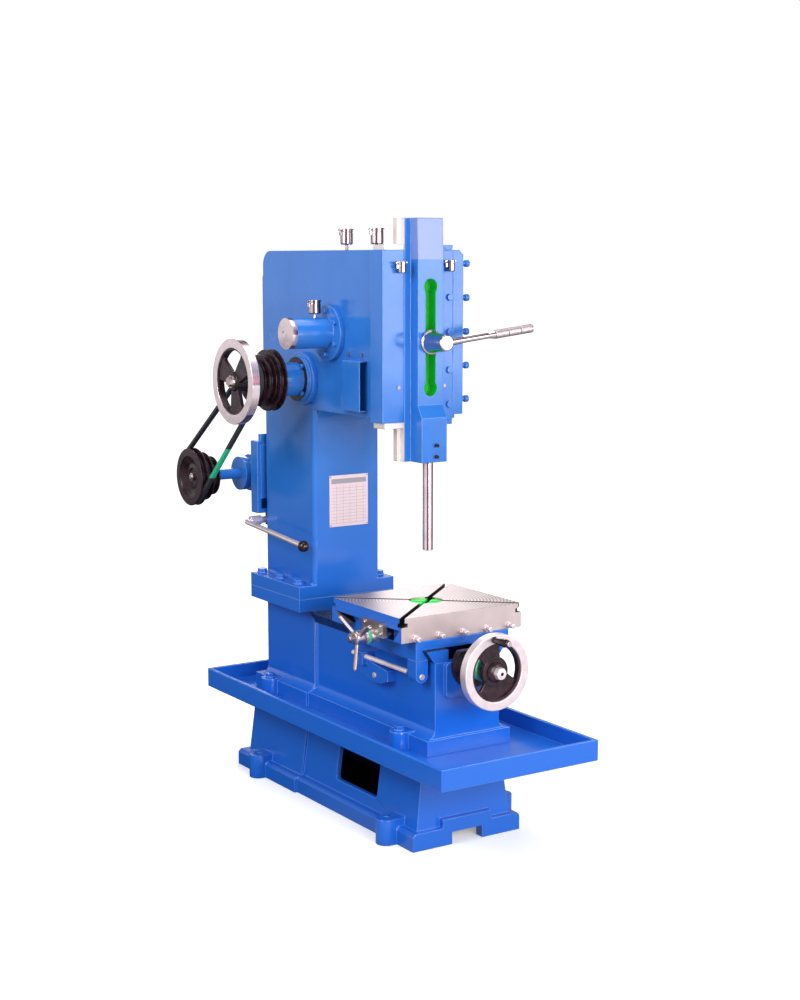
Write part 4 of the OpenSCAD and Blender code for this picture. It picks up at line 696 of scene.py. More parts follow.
class SlotterColours(bpy.types.PropertyGroup):
    """Colours of the machine's finishes."""
    enamel: colour("Enamel", "Main tone of the machine enamel", "#2C6FC3")
    enamel_shade: colour("Enamel shade", "Darker drift of the enamel", "#2569BC")
    # painted shade: deeper, darker enamel laid on towards the bottom, also on painted ends low down
    enamel_low_shaded: colour("Deep enamel", "Enamel of the bed and base", "#1C61C6")
    # painted highlight: paler enamel along the rounded edges
    enamel_edge_highlight: colour("Enamel edge", "Thin, rubbed enamel on edges", "#78AEFA")
    # painted sheen: pale paint standing in for light on the top of the ram's front
    enamel_sheen: colour("Hazed enamel", "Pale paint at the top of the ram's front", "#7083BB")
    steel: colour("Ground steel", "Ground and milled faces", "#C6B5B6")
    pale_steel: colour("Pale machined iron", "Bare machined faces of the ram and the slideway", "#DDD3D0")
    bright_steel: colour("Bright steel", "Turned and polished steel", "#DACACF")
    # painted dark reflections streaking the turned steel
    steel_dark_reflection: colour("Dark streaks", "Plum streaks on turned steel", "#5E3346")
    black_lacquer: colour("Black lacquer", "Pulleys and wheel webs", "#1B1116")
    lacquer_drift: colour("Lacquer drift", "Plum-brown drift in the black lacquer", "#351D28")
    rubber: colour("Belt rubber", "V-belt", "#17181B")
    belt_band: colour("Belt band", "Bare green band on the belt", "#12A878")
    plastic: colour("Knob plastic", "Ball knob and wheel grip", "#1E0D10")
    slot_green: colour("Slot green", "Strip in the slot of the ram", "#0CC02C")
    recess_green: colour("Recess green", "Recess in the table", "#10E850")
    dial: colour("Dial green", "Feed dials", "#24B985")


class SlotterSizes(bpy.types.PropertyGroup):
    """Sizes of the dressed pieces."""
    casting_edge: length("Casting edge", "Rounding of the castings' edges", 0.0030)
    machined_edge: length("Machined edge", "Broken edges of machined parts", 0.0008)
    wheel_radius: length("Handwheel radius", "Outer radius of the front handwheel", 0.100)
    wheel_rim: length("Handwheel rim", "Radial width of the bright rim", 0.024)
    flywheel_radius: length("Flywheel radius", "Outer radius of the flywheel", 0.119)
    flywheel_rim: length("Flywheel rim", "Radial width of the flywheel's rim", 0.027)
    # height above which the ram's front carries the painted sheen
    ram_sheen_from: length("Height of the ram's pale top", "Paint above it is hazed", 1.524)
    ball_radius: length("Ball knob radius", "Ball on the tension lever", 0.0165)


# Operators, one for each piece or group

class SLOTTER_OT_stage(bpy.types.Operator):
    """Floor, soft lights, world and the camera at the photograph's angle"""
    bl_idname = "slotter.stage"
    bl_label = "Stage, lights and camera"

    def execute(self, context):
        scene = context.scene
        scene.view_settings.view_transform = "Standard"
        scene.world = studio_world()
        side = 30.0
        mesh = bpy.data.meshes.new("studio_floor")
        corners = [(-side, -side, 0), (side, -side, 0), (side, side, 0), (-side, side, 0)]
        mesh.from_pydata(corners, [], [(0, 1, 2, 3)])
        mesh.materials.append(studio_paper())
        floor = bpy.data.objects.new("studio_floor", mesh)
        scene.collection.objects.link(floor)

        # each lamp: name, place and aim in metres, width and height, watts
        for name, location, aim_at, size, power in (
                ("key_front_right", (2.1, -3.5, 1.65), (0, -0.2, 1.25), (2.0, 1.5), 52),
                ("front_low", (-0.5, -4.0, 1.35), (0, -0.3, 0.55), (1.8, 1.8), 116),
                ("fill_left", (-3.0, -0.5, 2.4), (0, 0, 1.0), (1.6, 1.6), 72),
                ("top_soft", (0.0, -0.2, 3.8), (0, 0, 0.8), (2.6, 2.6), 64),
                ("rear_rim", (1.8, 3.4, 2.4), (0, 0, 0.8), (1.6, 1.6), 45)):
            data = bpy.data.lights.new(name, "AREA")
            data.shape = "RECTANGLE"
            data.size, data.size_y = size
            data.energy = power
            light = bpy.data.objects.new(name, data)
            scene.collection.objects.link(light)
            light.location = location
            light.visible_camera = False
            aim = np.subtract(aim_at, location)
            pitch = math.atan2(math.hypot(aim[0], aim[1]), -aim[2])
            light.rotation_euler = (pitch, 0, math.atan2(-aim[0], aim[1]))

        data = bpy.data.cameras.new("photograph_camera")
        data.lens, data.sensor_width = 60.85, 36.0
        data.clip_start, data.clip_end = 0.1, 60
        camera = bpy.data.objects.new("photograph_camera", data)
        scene.collection.objects.link(camera)
        camera.location = (-2.5073, -3.9569, 1.5197)
        camera.rotation_euler = (math.radians(90 - 8.05), 0, math.radians(-33.22))
        scene.camera = camera
        return {"FINISHED"}


class SLOTTER_OT_castings(bpy.types.Operator):
    """Enamel on the castings and sheet parts, with rounded edges"""
    bl_idname = "slotter.castings"
    bl_label = "Painted castings"

    def execute(self, context):
        sizes = context.scene.slotter_sizes
        enamel = machine_enamel()
        edge, fine = sizes.casting_edge / MM, sizes.machined_edge / MM
        slideway_painted_z = (1097.3, 1548.9)
        guides_from_y, ram_front_y = -240.3, -243
        slot_half_width, slot_end_radius = 16.8, 21.8
        slot_y, slot_ends_z = (-274.6, -200), (1187, 1453)

        def ends(tree):
            """Machined ends of the slideway on its left half, beyond the painted part."""
            x, _, z = axes(tree)
            left = add_node(tree, "Math", x, 0.0, operation="LESS_THAN")
            return combine(tree, "MULTIPLY", left, outside(tree, inside(tree, z, *slideway_painted_z)))

        def guides(tree):
            """Machined guides of the ram, behind its painted front."""
            return add_node(tree, "Math", axes(tree)[1], guides_from_y * MM, operation="GREATER_THAN")

        def ram_top_sheen(tree):
            """Front of the ram above the height where it leans out again, where a paler painted sheen stands
            in for light.
            """
            _, y, z = axes(tree)
            front = add_node(tree, "Math", y, ram_front_y * MM, operation="LESS_THAN")
            high = add_node(tree, "Math", z, sizes.ram_sheen_from, operation="GREATER_THAN")
            return combine(tree, "MULTIPLY", front, high)

        def slot_walls(tree):
            """Walls of the ram's slot: |x| and height within it, or within its round ends."""
            x, y, z = axes(tree)
            mask = combine(tree, "MULTIPLY", inside(tree, x, -slot_half_width, slot_half_width),
                           inside(tree, z, *slot_ends_z))
            for end_z in slot_ends_z:
                here = place(tree, (0, 0, end_z))
                flat = add_node(tree, "VectorMath", here, (1, 0, 1), operation="MULTIPLY")
                away = add_node(tree, "VectorMath", flat, operation="LENGTH").outputs["Value"]
                mask = combine(tree, "MAXIMUM", mask, inside(tree, away, -1, slot_end_radius))
            return combine(tree, "MULTIPLY", mask, inside(tree, y, *slot_y))

        dress(["base_casting", "bed_casting", "column_casting", "chip_tray", "motor_plate", "motor"],
              enamel, edge)
        dress(["slideway"], machine_enamel("enamel_with_machined_ends", bare=ends), edge * 0.7)
        dress(["ram"], machine_enamel("enamel_with_green_slot", bare=guides, slot=slot_walls, sheened=ram_top_sheen),
              edge * 0.8)
        dress(["saddle", "saddle_ear", "stop_bracket", "rear_cover", "crank_housing", "drive_housing",
               "shaft_cover", "keeper_plate"], enamel, fine * 1.6)
        dress(["side_cover", "housing_bolts", "keeper_bolts"], enamel, fine)
        return {"FINISHED"}


class SLOTTER_OT_machined(bpy.types.Operator):
    """Ground, milled and oiled faces: table, ways, gibs, inner drive"""
    bl_idname = "slotter.machined"
    bl_label = "Machined parts"

    def execute(self, context):
        colours = context.scene.slotter_colours
        fine = context.scene.slotter_sizes.machined_edge / MM
        dress(["table"], table_steel())
        dress(["cross_bearing", "pivot_pin", "stroke_block", "drive_shaft"], ground_steel(), fine * 0.6)
        dress(["ram_gib", "saddle_gib", "table_gib", "feed_screw"], oiled_ways(), fine)
        dress(["bed_ways"], oiled_ways("oiled_ways_with_painted_ends", painted_before=-449.5), fine)
        dress(["rocker", "bull_gear"], raw_iron())
        dress(["small_screws"], turned_steel("screw_heads", (0, 0, 0), RIGHT, 0.40, shade=0.5))
        dress(["slot_strip"], bright_paint("slot_green_gloss", colours.slot_green))
        dress(["table_recess"], bright_paint("recess_green_gloss", colours.recess_green))
        dress(["feed_bearing", "tool_screws"], black_cast_paint(), fine)
        dress(["data_plate"], etched_plate())
        cap_steel = turned_steel("turned_cap", (-250, 50, 1324.5), RIGHT, 0.25, streaks=0.9, shade=1.05,
                                 metal=0.75)
        dress(["crank_cap"], cap_steel, fine)
        return {"FINISHED"}


class SLOTTER_OT_housings(bpy.types.Operator):
    """Painted shade on the drive housing and in the opening of the crank cap, and sheet over the motor
    plate's hollow
    """
    bl_idname = "slotter.housings"
    # in the label, the seal is the black ring painted as shade on the drive housing
    bl_label = "Housing seal and motor sheet"

    def execute(self, context):
        black = black_cast_paint()
        # black ring painted as the shade on the housing's front face round the sleeve, for its shadow and
        # dark reflection
        shade_ring = turned([(0.1, 47.2), (0.1, 62.5), (1.2, 62.5), (1.2, 47.2)], 0.4,
                      (-136, DRIVE_Y, DRIVE_Z), LEFT, 96, closed=True)
        make_piece("drive_housing_shade_ring", shade_ring, black, "frame")
        # black disc painted as the shade in the opening of the crank cap
        hole_shade = revolve([(0, 0), (0, 2.9), (1, 2.9), (1, 0)], (-251, 64, 1328.5), LEFT, 32)
        make_piece("crank_cap_hole_shade", hole_shade, black, "frame")
        # the sheet ends 44 mm above the plate's foot
        path, sizes = capped([(0, 448, 818), (0, 448, 979)])
        sheet = sweep(path, rectangle(118.5, 1), BACK, sizes)
        make_piece("motor_plate_sheet", sheet, machine_enamel(), "motor")
        return {"FINISHED"}


class SLOTTER_OT_wheels(bpy.types.Operator):
    """Front handwheel and flywheel: bright rims, black cast webs, hub and grip"""
    bl_idname = "slotter.wheels"
    bl_label = "Handwheel and flywheel"

    def execute(self, context):
        sizes = context.scene.slotter_sizes
        black = black_cast_paint()
        # front handwheel, axis along Y, face towards the operator
        face_y = -582.0
        outer = sizes.wheel_radius / MM
        inner = outer - sizes.wheel_rim / MM
        centre = (0, face_y, FEED_Z)
        rim = turned([(0, inner), (0, outer), (26, outer), (26, inner)], 3.5, centre, BACK, 128,
                     closed=True, steps=6)
        rim_steel = turned_steel("turned_handwheel_rim", centre, BACK, 0.33, shade=1.12, metal=0.6)
        make_piece("handwheel_rim", rim, rim_steel, "handwheel", ["handwheel"])
        web = [
            turned([(4, inner - 6), (4, inner + 0.5), (22, inner + 0.5), (22, inner - 6)], 1.5,
                   centre, BACK, 128, closed=True),
            turned([(-3, 0), (-3, 13), (1, 22), (6, 27), (22, 27), (24, 24), (47.5, 22), (47.5, 0)], 2.5,
                   centre, BACK, 64),
            turned([(9, 0), (9, 40), (21, 40), (21, 0)], 3, centre, BACK, 96)]
        web += wheel_web(centre, BACK, RIGHT, 34, inner - 2, 15, 10,
                         [(-152, -64, -140, -78), (-352, -212, -338, -224)])
        make_piece("handwheel_web", together(web), black, "handwheel", ["handwheel"])
        nut_centre = (0, face_y - 3, FEED_Z)
        nut = together([
            hexagon(28, 15.5, nut_centre, FRONT),
            turned([(0, 0), (0, 9), (16.8, 9), (17.6, 8), (17.6, 5), (16, 4.4), (16, 0)], 0.5,
                   nut_centre, FRONT, 40)])
        nut_steel = turned_steel("turned_nut", (0, 0, FEED_Z), BACK, 0.30, shade=1.15, metal=0.35)
        make_piece("handwheel_nut", nut, nut_steel, "handwheel")
        # black disc painted as the shade in the nut's bore
        bore = revolve([(16.2, 0), (16.2, 4.8), (16.4, 4.8), (16.4, 0)], nut_centre, FRONT, 32)
        make_piece("handwheel_nut_bore_shade", bore, black, "handwheel")
        # grip on its pin
        pin_centre = (-13, face_y - 1, FEED_Z + 88)
        grip = turned([(0, 0), (0, 8.5), (6, 9.5), (10, 8), (34, 10.6), (52, 10.6), (62, 8.5), (63, 0)], 2.5,
                      pin_centre, FRONT, 48)
        make_piece("handwheel_grip_body", grip, moulded_plastic(), "handwheel_grip",
                   ["handwheel_grip"])
        pin = turned([(-12, 0), (-12, 3.9), (62, 3.9), (62, 6.5), (66.5, 6.5), (67, 0)], 0.8,
                     pin_centre, FRONT, 32)
        make_piece("handwheel_grip_pin", pin, turned_steel("turned_grip_pin", (-13, 0, FEED_Z + 88), BACK),
                   "handwheel_grip")
        # flywheel, axis along X, face to the left
        outer = sizes.flywheel_radius / MM
        inner = outer - sizes.flywheel_rim / MM
        centre = (-340, DRIVE_Y, DRIVE_Z)
        rim = turned([(0, inner), (0, outer), (24, outer), (24, inner)], 2, centre, RIGHT, 144,
                     closed=True, steps=5)
        rim_steel = turned_steel("turned_flywheel_rim", centre, RIGHT, 0.24, streaks=0.9, shade=1.15,
                                 metal=0.75)
        make_piece("flywheel_rim", rim, rim_steel, "drive", ["flywheel"])
        web = [
            turned([(3, inner - 5), (3, inner + 0.5), (21, inner + 0.5), (21, inner - 5)], 1.5,
                   centre, RIGHT, 128, closed=True),
            turned([(0, 0), (0, 24), (4, 28), (51, 28), (51, 0)], 2.5, centre, RIGHT, 64)]
        web += wheel_web(centre, RIGHT, BACK, 25, inner - 1, 11, 12,
                         [(mid - 40, mid + 40, mid - 22, mid + 22) for mid in (23, 143, 263)])
        make_piece("flywheel_web", together(web), black, "drive", ["flywheel"])
        return {"FINISHED"}


class SLOTTER_OT_pulleys(bpy.types.Operator):
    """Two three-step V-belt pulleys, the bare belt and the shaft ends"""
    bl_idname = "slotter.pulleys"
    bl_label = "Pulleys and belt"

    def execute(self, context):
        black = black_cast_paint()
        rims, pitch = (86, 72, 58), 26
        motor_y, motor_z = 585, 880

        def stepped(dish, bore):
            """Profile of three grooved steps, 26 mm each, with grooves 15 mm deep, in a closed loop with the
            bore. With a dish (mm) the face of the big step is hollowed that deep round the hub."""
            points = [(0, bore)]
            if dish:
                points = [(dish + 4, bore), (dish + 4, 8.7), (dish, 8.7), (dish, 24), (dish - 4, 26),
                          (dish - 2, 40), (3, 60), (0, 62)]
            for i, radius in enumerate(rims):
                x = pitch * i
                points += [(x + along, radius - below) for along, below in (
                    (0.3, 2.5), (1.2, 0), (4.6, 0), (7, 15), (19, 15), (21.4, 0), (24.8, 0), (25.7, 2.5))]
            return soften(points + [(3 * pitch, 50), (3 * pitch, bore)], 1.4)

        big = revolve(stepped(0, 18.0), (-210, DRIVE_Y, DRIVE_Z), LEFT, 128, closed=True)
        make_piece("machine_pulley", big, black, "drive", ["drive_pulley"])
        centre, end_centre = (-288, motor_y, motor_z), (-272, motor_y, motor_z)
        small = revolve(stepped(16, 16.5), centre, RIGHT, 128, closed=True)
        make_piece("motor_pulley_body", small, black, "motor_pulley", ["motor_pulley"])
        sleeve = turned([(21, 0), (21, 16), (100, 16), (242, 16), (242, 0)], 1, centre, RIGHT, 64)
        make_piece("motor_shaft_sleeve", sleeve, machine_enamel(), "motor_pulley")
        stub = turned([(-3, 0), (-3, 8.5), (10, 8.5), (11.5, 6), (11.5, 0)], 1, end_centre, LEFT, 32)
        end = together([hexagon(22, 8, end_centre, LEFT), stub])
        make_piece("motor_shaft_end", end, turned_steel("turned_shaft_end", centre, RIGHT, 0.2),
                   "motor_pulley")

        # belt: round both pulleys at 7.5 mm below the rims, straight between
        motor, drive = np.array([motor_y, motor_z], float), np.array([DRIVE_Y, DRIVE_Z], float)
        on_motor, on_drive = rims[0] - 7.5, rims[2] - 7.5
        line = drive - motor
        slope = math.atan2(line[1], line[0])
        wrap = math.acos((on_motor - on_drive) / np.linalg.norm(line))

        def arc(centre, radius, start, end, count=40):
            """Points on a circle from one angle to another."""
            t = np.linspace(start, end, count)
            return centre + radius * np.stack([np.cos(t), np.sin(t)], -1)

        loop = np.vstack([arc(drive, on_drive, slope - wrap, slope + wrap),
                          arc(motor, on_motor, slope + wrap, slope - wrap + 2 * math.pi)])
        pieces = []
        for start, end in zip(loop, np.roll(loop, -1, 0)):
            count = max(1, int(np.linalg.norm(end - start) / 12))
            pieces.append(start + (end - start) * np.linspace(0, 1, count, endpoint=False)[:, None])
        loop = np.vstack(pieces)
        path = np.column_stack([np.full(len(loop), -275.0), loop])
        section = soften([(-5.6, -5.5), (5.6, -5.5), (7.2, 5.5), (-7.2, 5.5)], 1.2, closed=True)
        belt = sweep(path, section[:, ::-1] * (-1, 1), RIGHT, closed=True)
        make_piece("v_belt_loop", belt, belt_rubber(), "frame", ["v_belt"])
        return {"FINISHED"}


class SLOTTER_OT_oil_cups(bpy.types.Operator):
    """Five plated oil cups with hinged lids"""
    bl_idname = "slotter.oil_cups"
    bl_label = "Oil cups"

    def execute(self, context):
        for lid in ("lid_top_rear", "lid_top_front", "lid_boss", "lid_left", "lid_right"):
            low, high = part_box("oil_" + lid)
            small = lid in ("lid_left", "lid_right")
            r, height, foot = (11.5, 26, 0) if small else (17, 34, 13) if lid == "lid_boss" else (17, 39, 14)
            x, y, z = high.x / MM - r - 4, (low.y + high.y) / 2 / MM, low.z / MM + 1.7
            plated = turned_steel("plated_" + lid, (x, y, z), UP, 0.13, streaks=0.85, shade=0.8)
            bottom = z - height
            stem = [(bottom - foot, 0), (bottom - foot, 4.5), (bottom - 0.5, 4.5)] if foot else [(bottom, 0)]
            profile = stem + [
                (bottom, r - 3), (bottom + 3, r), (z - 6, r), (z - 5.6, r - 0.7), (z - 4.6, r - 0.7),
                (z - 4.2, r), (z, r), (z, r - 2.4), (bottom + 5, r - 2.5), (bottom + 5, 0)]
            pieces = [turned(profile, 0.9, (x, y, 0), UP, 64)]
            # hinge lug below the barrel, and the small cups' stand-off
            path, sizes = capped([(x - r - 2.2, y, z - 13.7), (x - r - 2.2, y, z - 4)])
            lug = soften(rectangle(2.5, 3), 0.8, closed=True)
            pieces.append(sweep(path, lug, RIGHT, sizes))
            if small:
                pieces.append(turned([(0, 0), (0, 5), (4, 5), (4, 0)], 0.5, (x, y + 9, bottom + 8), BACK, 24))
            make_piece("cup_body_" + lid[4:], together(pieces), plated, "frame", ["oil_cups"])
            cover = [turned([(0.3, 0), (0.3, r + 0.8), (3.8, r + 0.8), (3.8, 0)], 0.8, (x, y, z), UP, 64),
                     turned([(-3, 0), (-3, 2), (3, 2), (3, 0)], 0.4, (x - r - 6, y, z + 0.3), BACK, 20)]
            tab = soften(rectangle(3, 1.7), 0.8, closed=True)
            for start, end in ((x - r - 6, x - r + 1), (x + r - 2, x + r + 4)):
                path, sizes = capped([(start, y, z + 2.05), (end, y, z + 2.05)])
                cover.append(sweep(path, tab, UP, sizes))
            make_piece("cup_cover_" + lid[4:], together(cover), plated, lid, ["oil_" + lid])
        return {"FINISHED"}


class SLOTTER_OT_clamp(bpy.types.Operator):
    """Clamp handle of the stroke setting, with its knurled lever"""
    bl_idname = "slotter.clamp"
    bl_label = "Clamp handle"

    def execute(self, context):
        face_y, z, lever_rise = -275.8, 1309.0, 6.6
        profile = soften([
            (0, 10.1), (0, 32.5), (6, 32.5), (7, 29), (10, 28.6), (40, 24.5), (66, 21.8), (70, 21.5),
            (74.5, 21.0), (76, 18), (76, 0), (28, 0), (28, 10.1)], 1.6)
        hub = revolve(profile, (0, face_y, z), FRONT, 96, closed=True)
        angle = math.radians(lever_rise)
        along = np.array([math.cos(angle), 0, math.sin(angle)])
        start = (0, face_y - 66, z)
        rod = turned([(14, 0), (14, 9.5), (60, 8.2), (140, 8.0), (160, 11.5), (160.5, 0)], 4,
                     start, along, 40)
        hub_steel = turned_steel("turned_clamp_hub", (0, face_y, z), BACK, 0.17, shade=0.85)
        make_piece("clamp_hub", together([hub, rod]), hub_steel, "clamp_handle", ["clamp_handle"])
        grips = [turned([(a, 0), (a, 11), (a + 1.5, 12), (b - 1.5, 12), (b, 11), (b, 0)], 0.8,
                        start, along, 64) for a, b in ((160, 201), (202.5, 242), (243.5, 284))]
        make_piece("clamp_grip", together(grips), knurled_steel(start, (0, lever_rise, 0)),
                   "clamp_handle")
        return {"FINISHED"}


class SLOTTER_OT_star(bpy.types.Operator):
    """Star handle of the cross feed, with its green dial"""
    bl_idname = "slotter.star"
    bl_label = "Star handle"

    def execute(self, context):
        x, y, z = centre = (-216.2, -309.0, 553.0)
        end = (x - 46, y, z)
        dial = turned([(0, 9), (0, 19), (2, 20.5), (10.8, 20.5), (10.8, 9)], 0.8, centre, LEFT, 72,
                      closed=True)
        make_piece("cross_dial", dial, graduated_dial("cross_dial_green", centre, 0, 50),
                   "star_handle", ["star_handle"])
        hub = [(11, 0), (11, 20.5), (13, 20.5), (13.6, 17), (20, 18.5), (41, 18.5), (46, 15), (48, 0)]
        pieces = [turned(hub, 1.5, centre, LEFT, 64), hexagon(22, 11, end, LEFT),
                  turned([(0, 0), (0, 7), (14, 7), (15, 5.5), (15, 0)], 0.6, end, LEFT, 32),
                  revolve([(-366, 0), (-366, 9), (12, 9), (12, 0)], centre, LEFT, 40)]
        tilt = math.radians(6)
        for turn in (30, 150, 270):
            t = math.radians(turn)
            out = np.array([-math.sin(tilt), math.cos(t) * math.cos(tilt), math.sin(t) * math.cos(tilt)])
            arm = [(0, 0), (0, 5.5), (84, 6.3), (88, 4.2), (88, 0)]
            pieces.append(turned(arm, 2.2, (x - 33, y, z), out, 36))
        make_piece("star_arms", together(pieces), turned_steel("turned_star", centre, RIGHT, 0.26, shade=0.8),
                   "star_handle", ["star_handle"])
        return {"FINISHED"}


class SLOTTER_OT_feed_dial(bpy.types.Operator):
    """Green dial of the long feed behind the handwheel"""
    bl_idname = "slotter.feed_dial"
    bl_label = "Feed dial"

    def execute(self, context):
        centre = (0, -534, FEED_Z)
        profile = [(0, 9), (0, 30), (2, 33), (20, 34), (22, 31.5), (26, 31.5), (28, 34), (45, 34), (47.5, 32),
                   (47.5, 9)]
        make_piece("feed_dial_ring", turned(profile, 0.8, centre, BACK, 96, closed=True),
                   graduated_dial("feed_dial_green", centre, 1, 60), "handwheel", ["feed_dial"])
        return {"FINISHED"}


class SLOTTER_OT_tool_bar(bpy.types.Operator):
    """Bright tool bar with a chamfered end"""
    bl_idname = "slotter.tool_bar"
    bl_label = "Tool bar"

    def execute(self, context):
        low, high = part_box("tool_bar")
        centre = ((low.x + high.x) / 2 / MM, (low.y + high.y) / 2 / MM, 0)
        bottom, top, neck_z = low.z / MM, high.z / MM, 987.6
        profile = [(bottom, 0), (bottom, 12.4), (bottom + 1.6, 14), (neck_z, 14), (neck_z + 1.4, 13.5),
                   (top, 13.5), (top, 0)]
        bar_steel = turned_steel("turned_tool_bar", centre, UP, 0.20, streaks=0.95, shade=1.25, metal=0.7)
        make_piece("tool_bar_body", turned(profile, 0.4, centre, UP, 72), bar_steel, "ram",
                   ["tool_bar"])
        return {"FINISHED"}


class SLOTTER_OT_tension_lever(bpy.types.Operator):
    """Belt tension lever: bent bright rod with a ball knob"""
    bl_idname = "slotter.tension_lever"
    bl_label = "Tension lever"

    def execute(self, context):
        y, z, drop, reach = 460.0, 752.0, math.radians(4.5), 346.0
        corner = np.array([-165, y, z])
        forward = np.array([0, -math.cos(drop), -math.sin(drop)])
        # the bend from start to end round the corner: (1-s)^2 start + 2 s (1-s) corner + s^2 end
        s = np.linspace(0, 1, 9)[:, None]
        start, end = np.array([-147, y, z]), corner + forward * 18
        bend = (1 - s) ** 2 * start + 2 * s * (1 - s) * corner + s ** 2 * end
        path, sizes = capped(np.vstack([[[-118, y, z]], bend, [end + forward * 120],
                                        [end + forward * (reach - 30)]]))
        # a fifth thicker at the boss, down to the rod's own size round the bend
        sizes *= np.concatenate([np.full(4, 1.2), np.linspace(1.2, 1.0, 7), np.full(len(path) - 11, 1.0)])
        rod = sweep(path, circle(7.5, 28), UP, sizes)
        boss = [(-150, 0), (-150, 13), (-149, 14), (-115, 14), (-114, 13), (-114, 10), (96, 10), (96, 0)]
        shaft = turned(boss, 0.8, (0, y, z), RIGHT, 48)
        rod_steel = turned_steel("turned_lever", (-165, 0, z), RIGHT, 0.2, shade=1.2, metal=0.6)
        make_piece("tension_rod", together([rod, shaft]), rod_steel, "motor", ["tension_lever"])
        ball = context.scene.slotter_sizes.ball_radius / MM
        arc = np.linspace(0.30, np.pi, 24)
        profile = np.vstack([[[-ball - 1, 0], [-ball - 1, 7.5]],
                             np.stack([-ball * np.cos(arc), ball * np.sin(arc)], -1)])
        knob = revolve(profile, corner + forward * reach, forward, 56)
        make_piece("ball_knob", knob, moulded_plastic(), "motor")
        return {"FINISHED"}


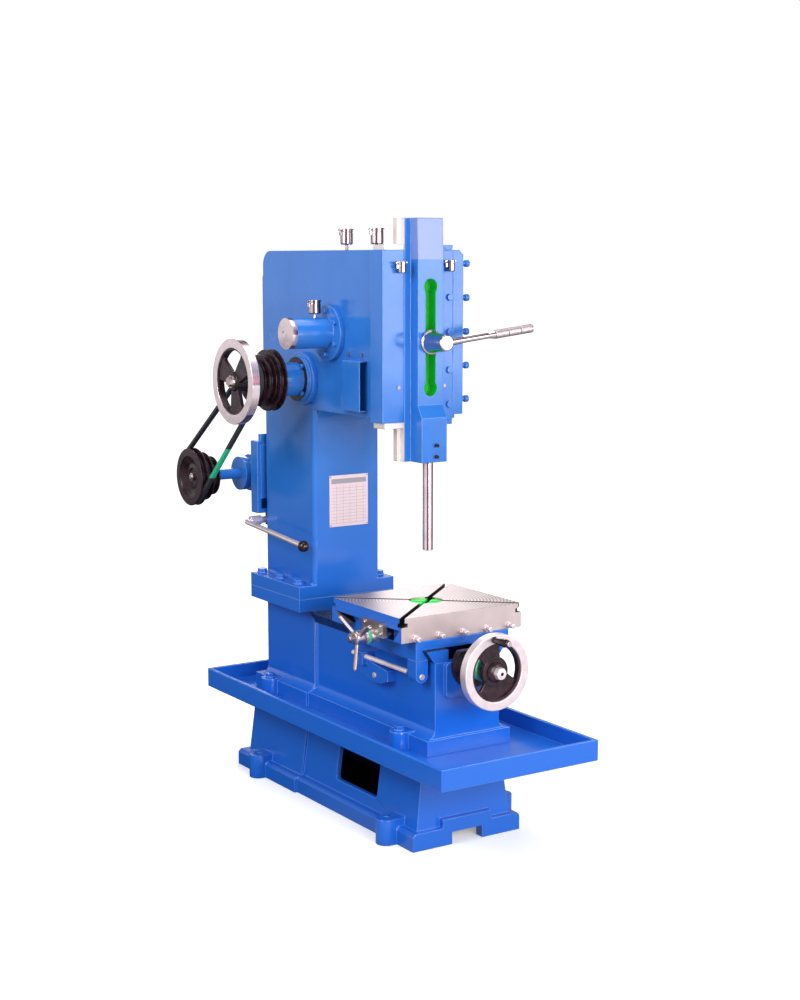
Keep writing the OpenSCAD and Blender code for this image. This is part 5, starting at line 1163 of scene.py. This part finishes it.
class SLOTTER_OT_fasteners(bpy.types.Operator):
    """Hexagon bolts and adjusting screws"""
    bl_idname = "slotter.fasteners"
    bl_label = "Bolts and screws"

    def execute(self, context):
        enamel = machine_enamel()
        # bolts on washers: name, the nodes they replace, height of the seat, height of the head, places
        for name, node, seat_z, head, places in (
                ("bed_bolts", "foot_bolts", 298, 11, ((144, -345), (150, 345))),
                ("flange_bolts", "column_bolts", 601.1, 12, ((137, 195), (137, 302), (137, 410)))):
            bolts = []
            for x, y in places:
                for side in (-1, 1):
                    at = (side * x, y, seat_z)
                    bolts += [turned([(0, 0), (0, 14.5), (2.4, 14.5), (2.4, 0)], 0.6, at, UP, 40),
                              hexagon(24, head, (side * x, y, seat_z + 2), UP)]
            make_piece(name, together(bolts), enamel, "frame", [node])
        screws = []
        for z in range(1149, 1514, 91):
            at = (82.3, -212.2, z)
            head = [(69, 0), (69, 7.6), (71.5, 9.5), (81, 9.5), (82.4, 8), (82.4, 4.4), (76, 4.2), (76, 0)]
            screws += [turned([(0, 0), (0, 4), (72, 4), (72, 0)], 0.5, at, RIGHT, 28),
                       hexagon(15, 6, (128, -212.2, z), RIGHT, 6), turned(head, 0.8, at, RIGHT, 40)]
        make_piece("ram_gib_screws", together(screws), enamel, "frame", ["gib_screws"])
        screws, screw_z = [], 560.3
        for x in range(-150, 151, 75):
            at = (x, -427, screw_z)
            tip = [(-30, 0), (-30, 4), (14, 4), (14.6, 6.4), (23, 6.4), (23.6, 4), (23.6, 0)]
            screws += [turned(tip, 0.6, at, FRONT, 28), hexagon(16, 8, at, FRONT, 6)]
        screw_steel = turned_steel("plated_screw", (0, 0, screw_z), BACK, 0.2, shade=1.1, metal=0.7)
        make_piece("table_gib_screw_set", together(screws), screw_steel, "table",
                   ["table_gib_screws"])
        head = [(0, 0), (0, 5), (3.4, 5), (4, 4.4), (4, 2.6), (2, 2.4), (2, 0)]
        heads = [turned(head, 0.4, (side * 52, -482, 472.8), FRONT, 32) for side in (-1, 1)]
        make_piece("flange_screw_heads", together(heads),
                   turned_steel("plated_head", (0, 0, 472.8), BACK, 0.22), "frame")
        # clamp bolts of the ear and of the bracket of the stop rod
        rod_x, rod_z = -131, 458
        head = [(0, 0), (0, 8), (3, 8), (4, 6.5), (4, 0)]
        make_piece("ear_bolt_head", turned(head, 0.6, (rod_x, -430.4, rod_z - 1), FRONT, 40),
                   turned_steel("plated_ear_bolt", (rod_x, 0, rod_z - 1), BACK, 0.3, metal=0.6),
                   "saddle")
        make_piece("bracket_bolt_head", turned(head, 0.6, (-128.4, -200, 414), LEFT, 40),
                   turned_steel("plated_bracket_bolt", (0, -200, 414), RIGHT, 0.3, metal=0.6),
                   "frame")
        # stop rod of the long feed, with its nut at the front end
        centre = (rod_x, 0, rod_z)
        rod = turned([(95, 0), (95, 6.5), (419, 6.5), (420, 5.5), (420, 0)], 0.6, centre, FRONT, 40)
        rod_steel = turned_steel("drawn_stop_rod", centre, BACK, 0.25, shade=1.3, metal=0.25)
        make_piece("stop_rod_bar", rod, rod_steel, "saddle", ["stop_rod"])
        nut = turned([(371, 6), (371, 9), (380, 9), (380, 6)], 0.9, centre, FRONT, 32, closed=True)
        make_piece("stop_rod_nut", nut, raw_iron(), "saddle")
        return {"FINISHED"}


OPERATORS = (
    SLOTTER_OT_stage, SLOTTER_OT_castings, SLOTTER_OT_machined, SLOTTER_OT_housings, SLOTTER_OT_wheels,
    SLOTTER_OT_pulleys, SLOTTER_OT_oil_cups, SLOTTER_OT_clamp, SLOTTER_OT_star, SLOTTER_OT_feed_dial,
    SLOTTER_OT_tool_bar, SLOTTER_OT_tension_lever, SLOTTER_OT_fasteners)


class SLOTTER_PT_panel(bpy.types.Panel):
    """Sidebar panel with the machine's operators, colours and sizes"""
    bl_label = "Slotting machine"
    bl_space_type = "VIEW_3D"
    bl_region_type = "UI"
    bl_category = "Slotter"

    def draw(self, context):
        for item in OPERATORS:
            self.layout.operator(item.bl_idname)
        for group in (context.scene.slotter_colours, context.scene.slotter_sizes):
            for key in group.bl_rna.properties.keys():
                if key not in ("rna_type", "name"):
                    self.layout.prop(group, key)


CLASSES = (SlotterColours, SlotterSizes, *OPERATORS, SLOTTER_PT_panel)


def register():
    """Registers the classes and puts the colours and sizes on the scene."""
    for item in CLASSES:
        bpy.utils.register_class(item)
    bpy.types.Scene.slotter_colours = bpy.props.PointerProperty(type=SlotterColours)
    bpy.types.Scene.slotter_sizes = bpy.props.PointerProperty(type=SlotterSizes)


def unregister():
    """Takes the colours and sizes off the scene and unregisters the classes."""
    del bpy.types.Scene.slotter_colours, bpy.types.Scene.slotter_sizes
    for item in reversed(CLASSES):
        bpy.utils.unregister_class(item)


def main():
    """Dresses the machine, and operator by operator."""
    register()
    for item in OPERATORS:
        getattr(bpy.ops.slotter, item.bl_idname.split(".")[1])()


if __name__ == "__main__":
    main()
